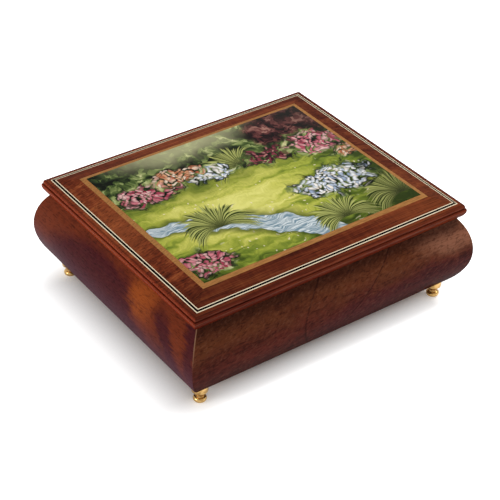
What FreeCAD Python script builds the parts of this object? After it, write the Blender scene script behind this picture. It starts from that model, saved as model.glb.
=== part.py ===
import FreeCAD, Part
import math
import os
import Sketcher

# A musical jewel box: a bulging wooden case with a hinged, inlaid lid, and a pinned-cylinder movement inside.
# Millimetres, +Z up, origin on the floor under the middle of the case, front towards -Y.

SIZES = (
    # Case
    ("case_length", 218, "length over the widest line of the walls"),
    ("case_depth", 186, "depth over the widest line of the walls"),
    ("case_height", 63.5, "floor to the rim of the walls"),
    ("foot_height", 12.5, "floor to the underside of the walls"),
    ("bulge_rise", 24.5, "underside of the walls to their widest line"),
    ("base_setback", 11, "how far the walls draw in at their underside"),
    ("rim_setback", 10.3, "how far the walls draw in at the rim"),
    ("rim_thickness", 6.5, "wall thickness at the rim"),
    ("bottom_thickness", 5, "bottom board"),
    ("rabbet_width", 3.5, "how far the bottom board is let into the walls"),
    ("hole_clearance", 0.05, "radial room round a screw, stud or pressed shaft"),
    ("running_clearance", 0.05, "radial room round a turning or sliding shaft"),
    # Feet
    ("foot_inset", 16.4, "foot axis inside the widest line"),
    ("flange_diameter", 10.6, "foot under the wall"),
    ("ball_diameter", 8.6, "foot above the floor"),
    ("neck_diameter", 5.6, "foot between ball and flange"),
    ("ball_height", 3.6, "foot's ball"),
    ("flange_thickness", 4.5, "foot's flange"),
    ("cove_radius", 4.2, "hollow between neck and flange"),
    ("stud_diameter", 3, "foot's stud in the bottom board"),
    ("stud_length", 4, "foot's stud in the bottom board"),
    # Lid
    ("seam_gap", 0.3, "rim to the closed lid"),
    ("lid_setback", 5, "lid's nose inside the widest line of the walls"),
    ("string_setback", 5.95, "middle of the stringing inside the lid's nose"),
    ("lid_edge_height", 9.6, "underside of the lid to the stringing"),
    ("nose_height", 5, "underside of the lid to its nose"),
    ("nose_undercut", 2.5, "underside of the lid inside its nose"),
    ("bead_rise", 1.2, "nose to the top of its bead"),
    ("bead_setback", 0.5, "top of the bead inside the nose"),
    ("quirk_width", 0.6, "small step between bead and shoulder"),
    ("shoulder_reach", 4.6, "outer end of the sloping frame outside the stringing"),
    ("shoulder_radius", 2.4, "rounding between the step and the sloping frame"),
    ("frame_slope", 0.23, "rise of the lid frame per millimetre inward"),
    ("string_width", 0.55, "each white string"),
    ("black_width", 1.35, "black string between the white ones"),
    ("string_depth", 1.2, "groove under the stringing"),
    ("frame_width", 12.25, "stringing to the banding"),
    ("banding_width", 3.2, "golden banding round the picture"),
    ("picture_thickness", 2.1, "picture plate"),
    ("panel_thickness", 6, "board under the picture"),
    ("ledge_width", 8, "lid ledge that carries the panel"),
    ("ledge_height", 5.2, "lid ledge that carries the panel"),
    ("lining_thickness", 3, "padded lining inside the lid"),
    ("soft_gap", 0.3, "room round a soft piece"),
    # Hinges
    ("hinge_spread", 60, "hinge middle from the middle of the case"),
    ("hinge_length", 24, "hinge along the back"),
    ("hinge_overhang", 0.5, "hinge axis behind the lid's nose"),
    ("leaf_thickness", 0.8, "hinge leaf"),
    ("leaf_reach", 10, "hinge leaf from its axis"),
    ("knuckle_radius", 1.8, "hinge barrel"),
    ("knuckle_gap", 0.25, "room beside and round a turning hinge barrel"),
    ("hinge_pin_radius", 0.6, "hinge pin"),
    ("hinge_screw_radius", 0.8, "hinge screw shank"),
    ("hinge_screw_head", 1.5, "hinge screw head radius"),
    ("hinge_screw_length", 4.5, "hinge screw under its leaf's face"),
    ("hinge_screw_spread", 7, "hinge screw from the middle of the leaf"),
    ("hinge_screw_reach", 7.5, "hinge screw from the hinge axis"),
    # Inside the case
    ("bay_width", 62, "left bay for movement and ring rolls"),
    ("movement_bay_depth", 58, "rear part of the left bay"),
    ("partition_thickness", 4, "partition boards"),
    ("partition_height", 31.5, "partition boards above the bottom board"),
    ("ledge_strip", 4, "strip that carries the movement cover at the back"),
    ("cover_thickness", 2, "clear cover over the movement"),
    ("cover_bearing", 2, "how far the cover lies on a partition"),
    ("lining_board", 1, "velvet-covered lining boards"),
    ("lining_drop", 3, "top of the lining boards below the rim"),
    ("pad_thickness", 3, "floor pad of the jewel bay"),
    ("roll_count", 6, "ring rolls that fill the front of the left bay"),
    ("roll_gap", 0.4, "between and beside the ring rolls"),
    ("roll_height", 24, "ring roll"),
    ("roll_crown", 4.5, "height of a ring roll's rounded top"),
    # Movement plate and brackets
    ("plate_length", 54, "bedplate"),
    ("plate_depth", 44, "bedplate"),
    ("plate_thickness", 3, "bedplate"),
    ("plate_screw_radius", 0.8, "bracket and comb screws"),
    ("plate_screw_head", 1.5, "bracket and comb screws, head radius"),
    ("plate_screw_head_height", 1, "bracket and comb screws"),
    ("mount_screw_radius", 1.2, "screws that hold the movement from below"),
    ("mount_screw_head", 2.4, "screws that hold the movement from below, head radius"),
    ("mount_screw_head_height", 1.4, "screws that hold the movement from below"),
    ("bracket_thickness", 1.8, "cylinder brackets and governor cock"),
    ("bracket_width", 9, "cylinder brackets"),
    ("bracket_tab", 4, "bracket foot on the bedplate"),
    ("tab_thickness", 1.5, "bracket foot on the bedplate"),
    ("bearing_margin", 3, "bracket beyond its bearing"),
    # Cylinder and comb
    ("cylinder_axis_height", 18, "cylinder axis above the bottom board"),
    ("cylinder_radius", 6.5, "pinned cylinder"),
    ("cylinder_length", 19, "pinned cylinder"),
    ("pin_radius", 0.22, "music pins"),
    ("pin_height", 0.8, "music pins above the cylinder"),
    ("pin_root", 0.5, "music pins inside the cylinder"),
    ("tooth_count", 18, "comb teeth and tracks of pins"),
    ("pins_per_track", 3, "music pins on each track"),
    ("arbor_radius", 0.8, "cylinder arbor"),
    ("comb_gap", 0.15, "comb tips to the tips of the pins"),
    ("comb_thickness", 1.4, "comb"),
    ("comb_depth", 13.5, "comb from tips to back edge"),
    ("comb_slot", 0.25, "between comb teeth"),
    ("shortest_tooth", 4.5, "treble tooth"),
    ("longest_tooth", 8, "bass tooth"),
    ("comb_margin", 1, "comb beyond its outer teeth"),
    ("riser_depth", 4.8, "block under the back of the comb"),
    # Gear train
    ("train_module", 0.5, "tooth size of crown, pinion and cylinder wheel"),
    ("worm_module", 0.4, "tooth size of the worm wheel"),
    ("crown_teeth", 40, "teeth on the spring barrel"),
    ("pinion_teeth", 16, "cylinder pinion"),
    ("wheel_teeth", 40, "cylinder wheel"),
    ("governor_teeth", 10, "governor pinion"),
    ("worm_wheel_teeth", 20, "worm wheel"),
    ("wheel_thickness", 1.5, "cylinder wheel and worm wheel"),
    ("pinion_thickness", 2, "cylinder pinion and governor pinion"),
    ("side_gap", 0.4, "between neighbouring wheels, cylinder and brackets"),
    ("crown_face", 1.5, "radial width of the crown teeth"),
    # Spring barrel and winding
    ("barrel_radius", 11, "spring barrel"),
    ("barrel_wall", 1.2, "spring barrel"),
    ("barrel_lift", 1, "bedplate to the barrel cover"),
    ("barrel_plate", 1, "barrel top and cover"),
    ("winding_radius", 1.5, "winding arbor"),
    ("collar_radius", 3, "collar that carries the barrel"),
    ("collar_gap", 0.1, "above and below the collar"),
    ("spring_strip", 0.35, "mainspring strip"),
    ("spring_pitch", 1.1, "mainspring, coil to coil"),
    ("spring_margin", 0.4, "mainspring to the barrel's top and cover"),
    ("key_clearance", 1.5, "floor to the winding key"),
    ("key_span", 20, "winding key across its wings"),
    ("key_thickness", 2, "winding key wings"),
    ("key_corner", 2.7, "rounding of the winding key wings"),
    ("key_wing_height", 6, "winding key wings"),
    ("key_hub_radius", 3, "winding key hub"),
    ("key_gap", 1, "winding key hub to the bottom board"),
    ("key_hole_radius", 2.5, "hole in the bottom board round the arbor"),
    # Governor
    ("governor_offset", 10, "governor arbor behind the cylinder axis"),
    ("governor_radius", 0.6, "governor and worm arbors"),
    ("worm_pitch_radius", 1.4, "worm at its working depth"),
    ("worm_turns", 5, "turns of the worm"),
    ("worm_place", 9.2, "worm axis from the left bracket"),
    ("pivot_depth", 1, "worm arbor's seat in the bedplate"),
    ("fan_base", 15.5, "fan above the bottom board"),
    ("fan_height", 8, "fan"),
    ("fan_radius", 5.5, "fan"),
    ("fan_hub_radius", 1.5, "fan"),
    ("fan_blade", 0.5, "fan blade thickness"),
    ("drum_radius", 2.2, "brake drum on the fan"),
    ("drum_height", 1, "brake drum on the fan"),
    ("drum_lift", 0.15, "fan blades to the brake drum"),
    ("cock_gap", 1, "fan to the governor cock"),
    ("cock_arm_thickness", 2, "arm of the governor cock"),
    # Stop rod
    ("stop_radius", 0.8, "stop rod"),
    ("shoe_radius", 1.2, "brake shoe on the stop rod"),
    ("shoe_height", 1.2, "brake shoe on the stop rod"),
    ("shoe_gap", 0.15, "brake shoe to the drum"),
    ("stop_travel", 3, "rise of the stop rod when the lid opens"),
)

# Tooth proportions, as shares of the module
ADDENDUM = 0.8
DEDENDUM = 1.15
TIP_SHARE = 0.2
ROOT_SHARE = 0.42
# How far the mitre cuts reach past the wood
MITRE_MARGIN = "1"
# Largest rounding of a wing, as a share of its height
CORNER_LIMIT = 0.48

doc = FreeCAD.newDocument("music_box")
size = doc.addObject("Spreadsheet::Sheet", "size")
for row, (alias, number, note) in enumerate(SIZES, start=1):
    size.set(f"A{row}", alias)
    size.set(f"B{row}", str(number))
    size.set(f"C{row}", note)
    size.setAlias(f"B{row}", alias)
doc.recompute()
nodes = []

# Places worked out from the sizes
HALF_X = "size.case_length / 2"
HALF_Y = "size.case_depth / 2"
BASE = "size.foot_height"
RIM = "size.case_height"
FLOOR = "(size.foot_height + size.bottom_thickness)"
WALL_DEEP = "(size.rim_setback + size.rim_thickness)"
CAVITY_X = f"({HALF_X} - {WALL_DEEP})"
CAVITY_Y = f"({HALF_Y} - {WALL_DEEP})"
BOARD_X = f"({CAVITY_X} + size.rabbet_width)"
BOARD_Y = f"({CAVITY_Y} + size.rabbet_width)"
LID_BASE = f"({RIM} + size.seam_gap)"
STRING_LEVEL = f"({LID_BASE} + size.lid_edge_height)"
PANEL_BASE = f"({LID_BASE} + size.ledge_height)"
PANEL_TOP = f"({PANEL_BASE} + size.panel_thickness)"
STRING_INSET = "(size.lid_setback + size.string_setback)"
PANEL_INSET = f"({STRING_INSET} + size.frame_width)"
PICTURE_INSET = f"({PANEL_INSET} + size.banding_width)"
LEDGE_INSET = f"({PANEL_INSET} + size.ledge_width)"
HINGE_Y = f"({HALF_Y} - size.lid_setback + size.hinge_overhang)"
HINGE_Z = f"({RIM} + size.seam_gap / 2)"
BAY_EDGE = f"(size.bay_width - {CAVITY_X})"
BAY_FRONT = f"({CAVITY_Y} - size.movement_bay_depth)"
COVER_BASE = f"({FLOOR} + size.partition_height)"
MIDDLE_X = f"({BAY_EDGE} - size.bay_width / 2)"
MIDDLE_Y = f"({CAVITY_Y} - size.movement_bay_depth / 2)"

# Heights and places in the movement
PLATE_TOP = f"({FLOOR} + size.plate_thickness)"
AXIS_Z = f"({FLOOR} + size.cylinder_axis_height)"
CROWN_RADIUS = "(size.train_module * size.crown_teeth / 2)"
PINION_RADIUS = "(size.train_module * size.pinion_teeth / 2)"
PLATE_LEFT = f"({MIDDLE_X} - size.plate_length / 2)"
LEFT_BRACKET = f"({PLATE_LEFT} + size.bracket_tab)"
LEFT_BEARING_END = f"({LEFT_BRACKET} + size.bracket_thickness)"
WHEEL_LEFT = f"({LEFT_BEARING_END} + 2 * size.side_gap)"
WHEEL_MIDDLE = f"({WHEEL_LEFT} + size.wheel_thickness / 2)"
CYLINDER_LEFT = f"({WHEEL_LEFT} + size.wheel_thickness + size.side_gap)"
CYLINDER_RIGHT = f"({CYLINDER_LEFT} + size.cylinder_length)"
RIGHT_BRACKET = f"({CYLINDER_RIGHT} + size.side_gap)"
PINION_LEFT = f"({RIGHT_BRACKET} + size.bracket_thickness + size.side_gap)"
BARREL_X = f"({PINION_LEFT} + size.pinion_thickness / 2 + {CROWN_RADIUS})"
BARREL_BASE = f"({PLATE_TOP} + size.barrel_lift)"
CROWN_LEVEL = f"({AXIS_Z} - {PINION_RADIUS})"
CROWN_ROOT = f"({CROWN_LEVEL} - {DEDENDUM} * size.train_module)"
GOVERNOR_REACH = "(size.train_module * (size.wheel_teeth + size.governor_teeth) / 2)"
GOVERNOR_Y = f"({MIDDLE_Y} + size.governor_offset)"
GOVERNOR_Z = f"({AXIS_Z} - sqrt({GOVERNOR_REACH} ^ 2 - size.governor_offset ^ 2))"
WORM_WHEEL_RADIUS = "(size.worm_module * size.worm_wheel_teeth / 2)"
WORM_X = f"({LEFT_BEARING_END} + size.worm_place)"
WORM_Y = f"({GOVERNOR_Y} + {WORM_WHEEL_RADIUS} + size.worm_pitch_radius)"
COCK_X = f"({WORM_X} + size.fan_radius + size.cock_gap)"
FAN_BASE = f"({FLOOR} + size.fan_base)"
DRUM_BASE = f"({FAN_BASE} + size.fan_height + size.drum_lift)"
ARM_BASE = f"({DRUM_BASE} + size.shoe_height + size.stop_travel + size.side_gap)"
ARM_TOP = f"({ARM_BASE} + size.cock_arm_thickness)"
STOP_X = f"({WORM_X} + size.drum_radius + size.shoe_radius + size.shoe_gap)"
STOP_TOP = f"({LID_BASE} - size.seam_gap)"


def read(expression):
    """Value of an expression of the sheet's sizes."""
    return float(size.evalExpression(expression))


def node(shape, label=None):
    """Keep a finished sub-part as a node under its own label."""
    shape.Label = label or shape.Label
    nodes.append(shape)
    return shape


def bind(thing, **expressions):
    """Tie properties of an object to the sheet."""
    for name, expression in expressions.items():
        thing.setExpression(name, expression)


def place(thing, x, y, z):
    """Tie the position of an object to the sheet."""
    thing.setExpression("Placement.Base.x", x)
    thing.setExpression("Placement.Base.y", y)
    thing.setExpression("Placement.Base.z", z)
    return thing


def block(name, low, high):
    """Box between two corners."""
    box = doc.addObject("Part::Box", name)
    bind(
        box,
        Length=f"{high[0]} - ({low[0]})",
        Width=f"{high[1]} - ({low[1]})",
        Height=f"{high[2]} - ({low[2]})",
    )
    return place(box, *low)


TURNS = {
    "x": FreeCAD.Rotation(FreeCAD.Vector(0, 1, 0), 90),
    "y": FreeCAD.Rotation(FreeCAD.Vector(1, 0, 0), -90),
    "z": FreeCAD.Rotation(),
}


def rod(name, start, radius, length, axis="z"):
    """Round bar from a start point along an axis."""
    bar = doc.addObject("Part::Cylinder", name)
    bind(bar, Radius=radius, Height=length)
    bar.Placement.Rotation = TURNS[axis]
    return place(bar, *start)


def cone(name, start, low_radius, high_radius, height):
    """Upright cone from a start point."""
    shape = doc.addObject("Part::Cone", name)
    bind(shape, Radius1=low_radius, Radius2=high_radius, Height=height)
    return place(shape, *start)


def fuse(name, shapes):
    """Join solids that make one piece."""
    joined = doc.addObject("Part::MultiFuse", name)
    joined.Shapes = shapes
    return joined


def cut(name, base, tools):
    """Take tools away from a base; a cut that takes nothing is an error."""
    tool = tools[0] if len(tools) == 1 else fuse(f"{name}_tools", tools)
    result = doc.addObject("Part::Cut", name)
    result.Base = base
    result.Tool = tool
    doc.recompute()
    if result.Shape.Volume >= base.Shape.Volume:
        raise RuntimeError(f"{name}: a cut takes nothing away")
    return result


def group(name, shapes):
    """Separate solids kept in one node."""
    together = doc.addObject("Part::Compound", name)
    together.Links = shapes
    return together


def origin_plane(body, role):
    return [plane for plane in body.Origin.OriginFeatures if plane.Role == role][0]


def fix_point(drawing, geometry, end, x, y):
    """Tie one point of a sketch to the sheet."""
    for kind, expression, axis in (("DistanceX", x, -2), ("DistanceY", y, -1)):
        if expression == "0":
            drawing.addConstraint(Sketcher.Constraint("PointOnObject", geometry, end, axis))
            continue
        distance = Sketcher.Constraint(kind, -1, 1, geometry, end, read(expression))
        index = drawing.addConstraint(distance)
        drawing.setExpression(f"Constraints[{index}]", expression)


def add_arc(drawing, begin, finish, radius, turn):
    """Arc of less than half a circle; a turn of 1 bends left and -1 bends right on the way."""
    chord = finish - begin
    left = FreeCAD.Vector(-chord.y, chord.x, 0).normalize()
    rise = math.sqrt(radius ** 2 - (chord.Length / 2) ** 2)
    centre = (begin + finish) * 0.5 + left * (turn * rise)
    angles = [math.atan2(p.y - centre.y, p.x - centre.x) for p in (begin, finish)]
    if turn < 0:
        angles.reverse()
    circle = Part.Circle(centre, FreeCAD.Vector(0, 0, 1), radius)
    return drawing.addGeometry(Part.ArcOfCircle(circle, *angles))


def add_outline(drawing, corners):
    """Closed outline; a corner is (x, y), or (x, y, radius, turn) where an arc leaves it."""
    points = [FreeCAD.Vector(read(corner[0]), read(corner[1]), 0) for corner in corners]
    edges = []
    for (x, y, *bend), begin, finish in zip(corners, points, points[1:] + points[:1]):
        if not bend:
            edges.append((drawing.addGeometry(Part.LineSegment(begin, finish)), 1, 2))
            continue
        radius, turn = bend
        index = add_arc(drawing, begin, finish, read(radius), turn)
        edges.append((index, 1, 2) if turn > 0 else (index, 2, 1))
    for edge, following in zip(edges, edges[1:] + edges[:1]):
        drawing.addConstraint(Sketcher.Constraint("Coincident", edge[0], edge[2], *following[:2]))
    for (x, y, *bend), edge in zip(corners, edges):
        fix_point(drawing, edge[0], edge[1], x, y)
        if bend:
            radius = bend[0]
            index = drawing.addConstraint(Sketcher.Constraint("Radius", edge[0], read(radius)))
            drawing.setExpression(f"Constraints[{index}]", radius)


def sketch(body, name, role, outlines):
    """Sketch of closed outlines on one of the body's own origin planes."""
    drawing = body.newObject("Sketcher::SketchObject", name)
    drawing.AttachmentSupport = [(origin_plane(body, role), "")]
    drawing.MapMode = "FlatFace"
    for corners in outlines:
        add_outline(drawing, corners)
    return drawing


def turned(name, profile):
    """Body turned about its own Z axis from a profile of (radius, height) corners."""
    body = doc.addObject("PartDesign::Body", name)
    drawing = sketch(body, f"{name}_profile", "XZ_Plane", [profile])
    turning = body.newObject("PartDesign::Revolution", f"{name}_turning")
    turning.Profile = drawing
    turning.ReferenceAxis = (drawing, ["V_Axis"])
    turning.Angle = 360
    return body


# Section plane, outward sign, and the half sizes across and along each side of the box
SIDES = {
    "front": ("YZ_Plane", -1, HALF_Y, HALF_X),
    "back": ("YZ_Plane", 1, HALF_Y, HALF_X),
    "left": ("XZ_Plane", -1, HALF_X, HALF_Y),
    "right": ("XZ_Plane", 1, HALF_X, HALF_Y),
}


def mitred_strip(name, side, section, deepest):
    """Strip along one side with mitred ends; the section is given as (inset, height) corners."""
    role, sign, across, along = SIDES[side]
    corners = []
    for inset, height, *bend in section:
        arc = (bend[0], bend[1] * sign) if bend else ()
        corners.append((f"{sign} * ({across} - {inset})", height, *arc))
    body = doc.addObject("PartDesign::Body", name)
    pad = body.newObject("PartDesign::Pad", f"{name}_length")
    pad.Profile = sketch(body, f"{name}_section", role, [corners])
    pad.SideType = "Symmetric"
    bind(pad, Length=f"2 * {along}")
    triangles = []
    for end in (1, -1):
        outer = (f"{end} * ({along} + {MITRE_MARGIN})", f"{sign} * ({across} + {MITRE_MARGIN})")
        inner_along = f"{end} * ({along} - {deepest} - {MITRE_MARGIN})"
        inner_across = f"{sign} * ({across} - {deepest} - {MITRE_MARGIN})"
        triangle = [outer, (outer[0], inner_across), (inner_along, inner_across)]
        triangles.append(triangle if role == "YZ_Plane" else [(y, x) for x, y in triangle])
    doc.recompute()
    whole = pad.Shape.Volume
    mitres = body.newObject("PartDesign::Pocket", f"{name}_mitres")
    mitres.Profile = sketch(body, f"{name}_mitre_lines", "XY_Plane", triangles)
    mitres.Type = "ThroughAll"
    mitres.SideType = "Symmetric"
    doc.recompute()
    if body.Shape.Volume >= whole:
        raise RuntimeError(f"{name}: the mitres take nothing away")
    return body


def arc_radius(setback, rise):
    """Radius of an arc that leaves a point upright and draws back over a rise."""
    return f"({setback} ^ 2 + {rise} ^ 2) / (2 * {setback})"


# Walls: bulging outside, upright inside, with a rabbet for the bottom board
def wall_section():
    upper_rise = "(size.case_height - size.foot_height - size.bulge_rise)"
    rabbet_inset = f"({WALL_DEEP} - size.rabbet_width)"
    return [
        ("size.base_setback", BASE, arc_radius("size.base_setback", "size.bulge_rise"), 1),
        ("0", f"{BASE} + size.bulge_rise", arc_radius("size.rim_setback", upper_rise), 1),
        ("size.rim_setback", RIM),
        (WALL_DEEP, RIM),
        (WALL_DEEP, FLOOR),
        (rabbet_inset, FLOOR),
        (rabbet_inset, BASE),
    ]


HINGE_SIDES = (("left", -1), ("right", 1))


def hinge_middle(sign):
    return f"({sign} * size.hinge_spread)"


def hinge_mortises(name, low_z, high_z):
    """Recesses for the two hinge leaves along the back."""
    reach = f"({HINGE_Y} - size.leaf_reach)"
    half = "size.hinge_length / 2"
    return [
        block(
            f"{name}_mortise_{side}",
            (f"{hinge_middle(sign)} - {half}", reach, low_z),
            (f"{hinge_middle(sign)} + {half}", f"{HALF_Y}", high_z),
        )
        for side, sign in HINGE_SIDES
    ]


def hinge_screw_places():
    """Screw axes of both hinges."""
    places = []
    for side, sign in HINGE_SIDES:
        for end in (-1, 1):
            x = f"({hinge_middle(sign)} + {end} * size.hinge_screw_spread)"
            places.append((f"{side}_{'inner' if end * sign < 0 else 'outer'}", x))
    return places


HINGE_SCREW_Y = f"({HINGE_Y} - size.hinge_screw_reach)"
SCREW_HOLE = "size.hinge_screw_radius + size.hole_clearance"


def make_walls():
    for side in ("front", "left", "right"):
        node(mitred_strip(f"{side}_wall", side, wall_section(), WALL_DEEP))
    blank = mitred_strip("back_wall_blank", "back", wall_section(), WALL_DEEP)
    tools = hinge_mortises("back_wall", f"{RIM} - size.leaf_thickness", f"{RIM} + size.leaf_thickness")
    for place_name, x in hinge_screw_places():
        start = (x, HINGE_SCREW_Y, f"{RIM} - size.hinge_screw_length")
        tools.append(rod(f"back_wall_hole_{place_name}", start, SCREW_HOLE, "size.hinge_screw_length"))
    node(cut("back_wall", blank, tools))


# Places round the bottom: feet, key and movement screws
CORNERS = (("front_left", -1, -1), ("front_right", 1, -1), ("back_left", -1, 1), ("back_right", 1, 1))
MOUNT_SCREWS = (("left_front", -1, -1), ("left_back", -1, 1), ("right_front", 1, -1))


def foot_place(x_sign, y_sign):
    x = f"{x_sign} * ({HALF_X} - size.foot_inset)"
    y = f"{y_sign} * ({HALF_Y} - size.foot_inset)"
    return x, y


def mount_screw_place(x_sign, y_sign):
    x = f"{MIDDLE_X} + {x_sign} * (size.plate_length / 2 - 2 * size.mount_screw_radius)"
    y = f"{MIDDLE_Y} + {y_sign} * (size.plate_depth / 2 - 2 * size.mount_screw_radius)"
    return x, y


def make_bottom():
    low = (f"-{BOARD_X}", f"-{BOARD_Y}", BASE)
    blank = block("bottom_blank", low, (BOARD_X, BOARD_Y, FLOOR))
    through = "size.bottom_thickness"
    tools = [rod("key_hole", (BARREL_X, MIDDLE_Y, BASE), "size.key_hole_radius", through)]
    for name, *signs in CORNERS:
        start = (*foot_place(*signs), BASE)
        stud_hole = "size.stud_diameter / 2 + size.hole_clearance"
        tools.append(rod(f"stud_hole_{name}", start, stud_hole, through))
    for name, *signs in MOUNT_SCREWS:
        start = (*mount_screw_place(*signs), BASE)
        screw_hole = "size.mount_screw_radius + size.hole_clearance"
        head_hole = "size.mount_screw_head + size.hole_clearance"
        tools.append(rod(f"mount_hole_{name}", start, screw_hole, through))
        tools.append(rod(f"mount_sink_{name}", start, head_hole, "size.mount_screw_head_height"))
    node(cut("bottom_board", blank, tools))


# Feet: turned brass with a ball below, a hollow neck and a flange under the wall
def make_feet():
    neck = "size.neck_diameter / 2"
    flange = "size.flange_diameter / 2"
    stud = "size.stud_diameter / 2"
    swell = "(size.ball_diameter - size.neck_diameter) / 2"
    ball_radius = f"((size.ball_height / 2) ^ 2 + ({swell}) ^ 2) / (2 * {swell})"
    profile = [
        ("0", "0"),
        (neck, "0", ball_radius, 1),
        (neck, "size.ball_height", "size.cove_radius", -1),
        (flange, "size.foot_height - size.flange_thickness"),
        (flange, "size.foot_height"),
        (stud, "size.foot_height"),
        (stud, "size.foot_height + size.stud_length"),
        ("0", "size.foot_height + size.stud_length"),
    ]
    for name, *signs in CORNERS:
        foot = turned(f"foot_{name}", profile)
        x, y = foot_place(*signs)
        node(place(foot, x, y, "0"))


# Lid: rails with a moulded edge, a groove for the stringing and a ledge for the panel
def slope_height(inset):
    """Height of the sloping frame at an inset from the widest line of the walls."""
    return f"({STRING_LEVEL} + ({inset} - {STRING_INSET}) * size.frame_slope)"


GROOVE_OUTER = f"({STRING_INSET} - size.black_width / 2 - size.string_width)"
GROOVE_INNER = f"({STRING_INSET} + size.black_width / 2 + size.string_width)"
GROOVE_BASE = f"({STRING_LEVEL} - size.string_depth)"


def rail_section():
    nose = f"({LID_BASE} + size.nose_height)"
    bead_inset = "(size.lid_setback + size.bead_setback)"
    bead_top = f"({nose} + size.bead_rise)"
    shoulder_inset = f"({STRING_INSET} - size.shoulder_reach)"
    nose_bend = arc_radius("size.nose_undercut", "size.nose_height")
    bead_bend = arc_radius("size.bead_setback", "size.bead_rise")
    return [
        ("(size.lid_setback + size.nose_undercut)", LID_BASE, nose_bend, 1),
        ("size.lid_setback", nose, bead_bend, 1),
        (bead_inset, bead_top),
        (f"({bead_inset} + size.quirk_width)", bead_top, "size.shoulder_radius", 1),
        (shoulder_inset, slope_height(shoulder_inset)),
        (GROOVE_OUTER, slope_height(GROOVE_OUTER)),
        (GROOVE_OUTER, GROOVE_BASE),
        (GROOVE_INNER, GROOVE_BASE),
        (GROOVE_INNER, slope_height(GROOVE_INNER)),
        (PANEL_INSET, slope_height(PANEL_INSET)),
        (PANEL_INSET, PANEL_BASE),
        (LEDGE_INSET, PANEL_BASE),
        (LEDGE_INSET, LID_BASE),
    ]


def make_lid_rails():
    for side in ("front", "left", "right"):
        node(mitred_strip(f"lid_rail_{side}", side, rail_section(), LEDGE_INSET))
    blank = mitred_strip("lid_rail_back_blank", "back", rail_section(), LEDGE_INSET)
    tools = hinge_mortises("lid", f"{LID_BASE} - size.leaf_thickness", f"{LID_BASE} + size.leaf_thickness")
    for place_name, x in hinge_screw_places():
        start = (x, HINGE_SCREW_Y, LID_BASE)
        tools.append(rod(f"lid_hole_{place_name}", start, SCREW_HOLE, "size.hinge_screw_length"))
    node(cut("lid_rail_back", blank, tools))


def inlay(name, outer, inner, base):
    """Four mitred strips let into the sloping frame."""
    section = [(outer, base), (outer, slope_height(outer)), (inner, slope_height(inner)), (inner, base)]
    strips = [mitred_strip(f"{name}_{side}", side, section, inner) for side in SIDES]
    node(group(name, strips))


def make_inlays():
    half = "size.black_width / 2"
    inlay("outer_white_stringing", GROOVE_OUTER, f"({STRING_INSET} - {half})", GROOVE_BASE)
    inlay("black_stringing", f"({STRING_INSET} - {half})", f"({STRING_INSET} + {half})", GROOVE_BASE)
    inlay("inner_white_stringing", f"({STRING_INSET} + {half})", GROOVE_INNER, GROOVE_BASE)
    inlay("golden_banding", PANEL_INSET, PICTURE_INSET, PANEL_TOP)


def centred_block(name, inset, low_z, high_z):
    """Board centred on the lid, drawn in from the widest line of the walls."""
    x = f"({HALF_X} - {inset})"
    y = f"({HALF_Y} - {inset})"
    return block(name, (f"-{x}", f"-{y}", low_z), (x, y, high_z))


def make_lid_boards():
    node(centred_block("lid_panel", PANEL_INSET, PANEL_BASE, PANEL_TOP))
    picture_top = f"{PANEL_TOP} + size.picture_thickness"
    node(centred_block("picture_plate", PICTURE_INSET, PANEL_TOP, picture_top))
    lining_inset = f"({LEDGE_INSET} + size.soft_gap)"
    lining_base = f"{PANEL_BASE} - size.lining_thickness"
    node(centred_block("lid_lining", lining_inset, lining_base, PANEL_BASE))


# Butt hinges: case leaf with two outer knuckles, lid leaf with one middle knuckle, and a pin
KNUCKLE_HALF = "size.hinge_length / 6"


def screw_sinks(name, x, face, down):
    """Hole and countersink through a leaf; the leaf's open face looks up or down."""
    deep = "(size.hinge_screw_head - size.hinge_screw_radius)"
    room = "size.hole_clearance"
    low, high = f"size.hinge_screw_radius + {room}", f"size.hinge_screw_head + {room}"
    sink_z = f"{face} - {deep}" if down else face
    radii = (low, high) if down else (high, low)
    hole_z = f"{face} - size.leaf_thickness" if down else face
    return [
        rod(f"{name}_hole", (x, HINGE_SCREW_Y, hole_z), low, "size.leaf_thickness"),
        cone(f"{name}_sink", (x, HINGE_SCREW_Y, sink_z), *radii, deep),
    ]


def knuckle(name, low_x, high_x):
    return rod(name, (low_x, HINGE_Y, HINGE_Z), "size.knuckle_radius", f"{high_x} - ({low_x})", "x")


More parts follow.
